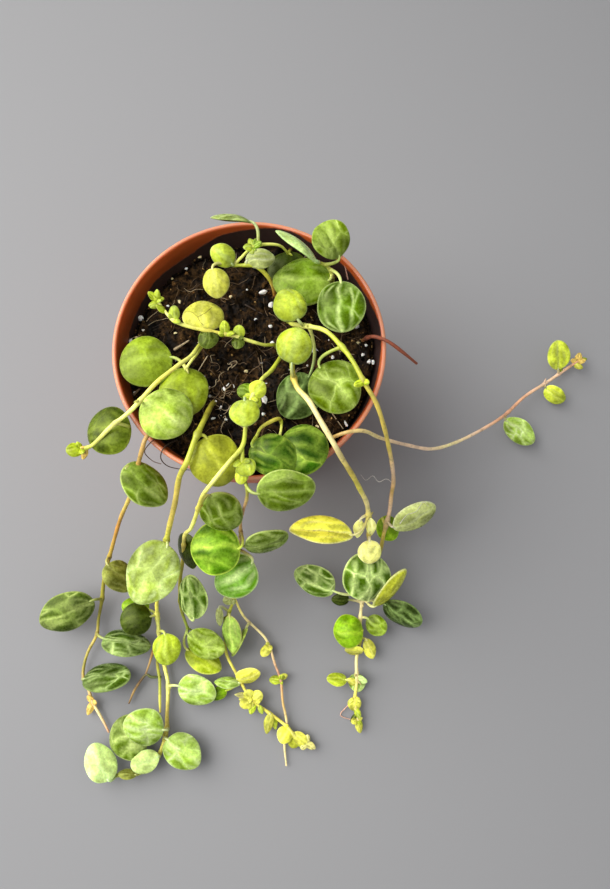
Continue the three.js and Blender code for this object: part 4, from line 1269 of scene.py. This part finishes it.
def add_spur(shells, path, node, radius, tint, dice):
    """A small bud or scale on a node."""
    ahead = unit(path[min(node + 1, len(path) - 1)] - path[max(node - 1, 0)])
    out = unit(np.cross(ahead, dice.normal(size=3)))
    out[2] = abs(out[2])
    towards = unit(out + ahead * dice.uniform(0.2, 1))
    length = dice.uniform(0.7, 1.5)
    t = np.linspace(0, 1, 6)[:, None]
    spur = path[node] + out * radius * 0.5 + towards * length * t
    radii = np.array([0.26, 0.3, 0.29, 0.24, 0.17, 0.09])
    places, faces = tube(spur, radii, 8)
    shells.add(places, faces, tint=tint * dice.uniform(0.7, 1.1))


def nearest_place(paths, target):
    """The line and the point on it that lie nearest to the target."""
    gaps = [np.linalg.norm(path - target, axis=1) for path in paths]
    best = min(range(len(paths)), key=lambda i: gaps[i].min())
    return best, int(gaps[best].argmin())


def build_leafy_stem(name, leaf_flesh, stem_flesh):
    slot, lines, rows = LEAFY_STEMS[name]
    dice = np.random.default_rng(100 + list(LEAFY_STEMS).index(name))
    stems, leaves = Shells(), Shells()
    paths = [through(points, STEM_PITCH) for _, _, points in lines]
    blades = [Blade(*row, dice=dice) for row in rows]
    starts = [nearest_place(paths, blade.base) for blade in blades]
    nodes = [[node for line, node in starts if line == i] for i in range(len(lines))]
    for blade, (line, node) in zip(blades, starts):
        if blade.length < STALKLESS:
            blade.stand_on(paths[line][node])
    tints = [add_line(stems, STEM_SHARE * radius, colours, path, found, dice)
             for (radius, colours, _), path, found in zip(lines, paths, nodes)]
    for blade, row, (line, node) in zip(blades, rows, starts):
        start, tint = paths[line][node], tints[line][node]
        add_blade(leaves, blade)
        if np.linalg.norm(blade.base - start) > PETIOLE_RADIUS:
            add_petiole(stems, start, blade, tint)
        if blade.length < STALKLESS:
            add_tuft(leaves, start, row, dice)
        elif dice.uniform() < 0.5:
            add_spur(stems, paths[line], node, lines[line][0], tint, dice)
    for row in LEAFLETS.get(name, []):
        leaflet = Blade(*row, dice=dice)
        line, node = nearest_place(paths, leaflet.base)
        leaflet.stand_on(paths[line][node])
        add_blade(leaves, leaflet)
    if name == CRACKED_STEM:
        add_cracks(leaves, blades[0])
    stems.build(name + "_stems", stem_flesh, "stem", name)
    leaves.build(name + "_leaves", leaf_flesh, slot, name)


def add_tuft(shells, start, row, dice):
    """Tiny leaves beside a young one, at the same node."""
    heading, tone = row[3], row[8]
    for side in (-1, 1):
        if dice.uniform() < 0.8:
            length = dice.uniform(1.4, 2.5)
            turn = heading + side * dice.uniform(50, 120)
            leaf = Blade(*start, turn, dice.uniform(0, 45), dice.uniform(-25, 25), length,
                         length * dice.uniform(0.55, 0.8), tone, dice=dice)
            leaf.stand_on(start)
            add_blade(shells, leaf)


def add_cracks(shells, blade):
    dark = colour(CRACK_BROWN)
    for crack in CRACKS:
        at = np.linspace(0, len(crack) - 1, 24)
        u, v = [np.interp(at, range(len(crack)), part) for part in np.array(crack).T]
        places, faces = tube(blade.surface(u, v, np.ones(24)), np.full(24, 0.05), 5)
        shells.add(places, faces, leaf_place=(0.1, 0.1, 0.1), leaf_veins=(0, 1, 0),
                   leaf_marks=(0, 0, 0), blade_tint=dark, vein_tint=dark)


def build_dry_stalk(material):
    radius, colours, points = DRY_STALK
    shells = Shells()
    add_line(shells, radius, colours, through(points, STEM_PITCH), [6, 16],
             np.random.default_rng(31))
    shells.build("dry_stalk_twig", material, "dry_stalk", "dry_stalk")


# Studio ------------

def build_floor(material):
    size = 4.0
    mesh = bpy.data.meshes.new("floor")
    mesh.from_pydata([(-size, -size, 0), (size, -size, 0), (size, size, 0),
                      (-size, size, 0)], [], [(0, 1, 2, 3)])
    mesh.materials.append(material)
    floor = put("floor", mesh)


def area_light(name, place, target, size, power, tint, spread):
    data = bpy.data.lights.new(name, "AREA")
    data.shape = "DISK"
    data.size = size
    data.energy = power
    data.color = tint
    data.spread = math.radians(spread)
    light = put(name, data)
    light.location = place
    towards = Vector(target) - Vector(place)
    light.rotation_euler = towards.to_track_quat("-Z", "Y").to_euler()


def build_lights():
    world = bpy.data.worlds.new("studio")
    world.use_nodes = True
    back = world.node_tree.nodes["Background"]
    back.inputs["Color"].default_value = (0.98, 0.99, 1.0, 1)
    back.inputs["Strength"].default_value = 0.51
    bpy.context.scene.world = world
    area_light("key", (-0.43, 0.11, 0.35), (-0.12, 0, 0), size=0.75, power=3.15,
               tint=(1, 0.985, 0.95), spread=120)
    area_light("fill", (-0.2, -0.1, 0.5), (-0.03, -0.05, 0.02), size=0.45, power=0.2,
               tint=(1, 1, 1), spread=60)


def build_camera():
    """The photo's view: a 30 mm lens looks down at 76.5 degrees."""
    lift = math.radians(CAMERA_LIFT)
    ahead = Vector((0, math.cos(lift), -math.sin(lift)))
    above = Vector((0, math.sin(lift), math.cos(lift)))
    data = bpy.data.cameras.new("camera")
    data.sensor_width = 36
    data.lens = data.sensor_width * FOCAL_PIXELS / PHOTO_HEIGHT
    data.clip_start = 0.01
    camera = put("camera", data)
    axes = Matrix((ahead.cross(above), above, -ahead)).transposed().to_4x4()
    camera.matrix_world = Matrix.Translation(Vector(CAMERA_PLACE) * MM) @ axes
    bpy.context.scene.camera = camera
    bpy.context.scene.view_settings.view_transform = "Standard"


def main():
    build_camera()
    build_lights()
    build_floor(floor_material())
    build_pot(plastic_material())
    compost = compost_material()
    dry = dry_material()
    build_soil(compost)
    build_crumbs(compost)
    build_perlite(perlite_material())
    build_fibres(dry)
    leaf_flesh, stem_flesh = leaf_material(), stem_material()
    for name in LEAFY_STEMS:
        build_leafy_stem(name, leaf_flesh, stem_flesh)
    build_dry_stalk(dry)


main()
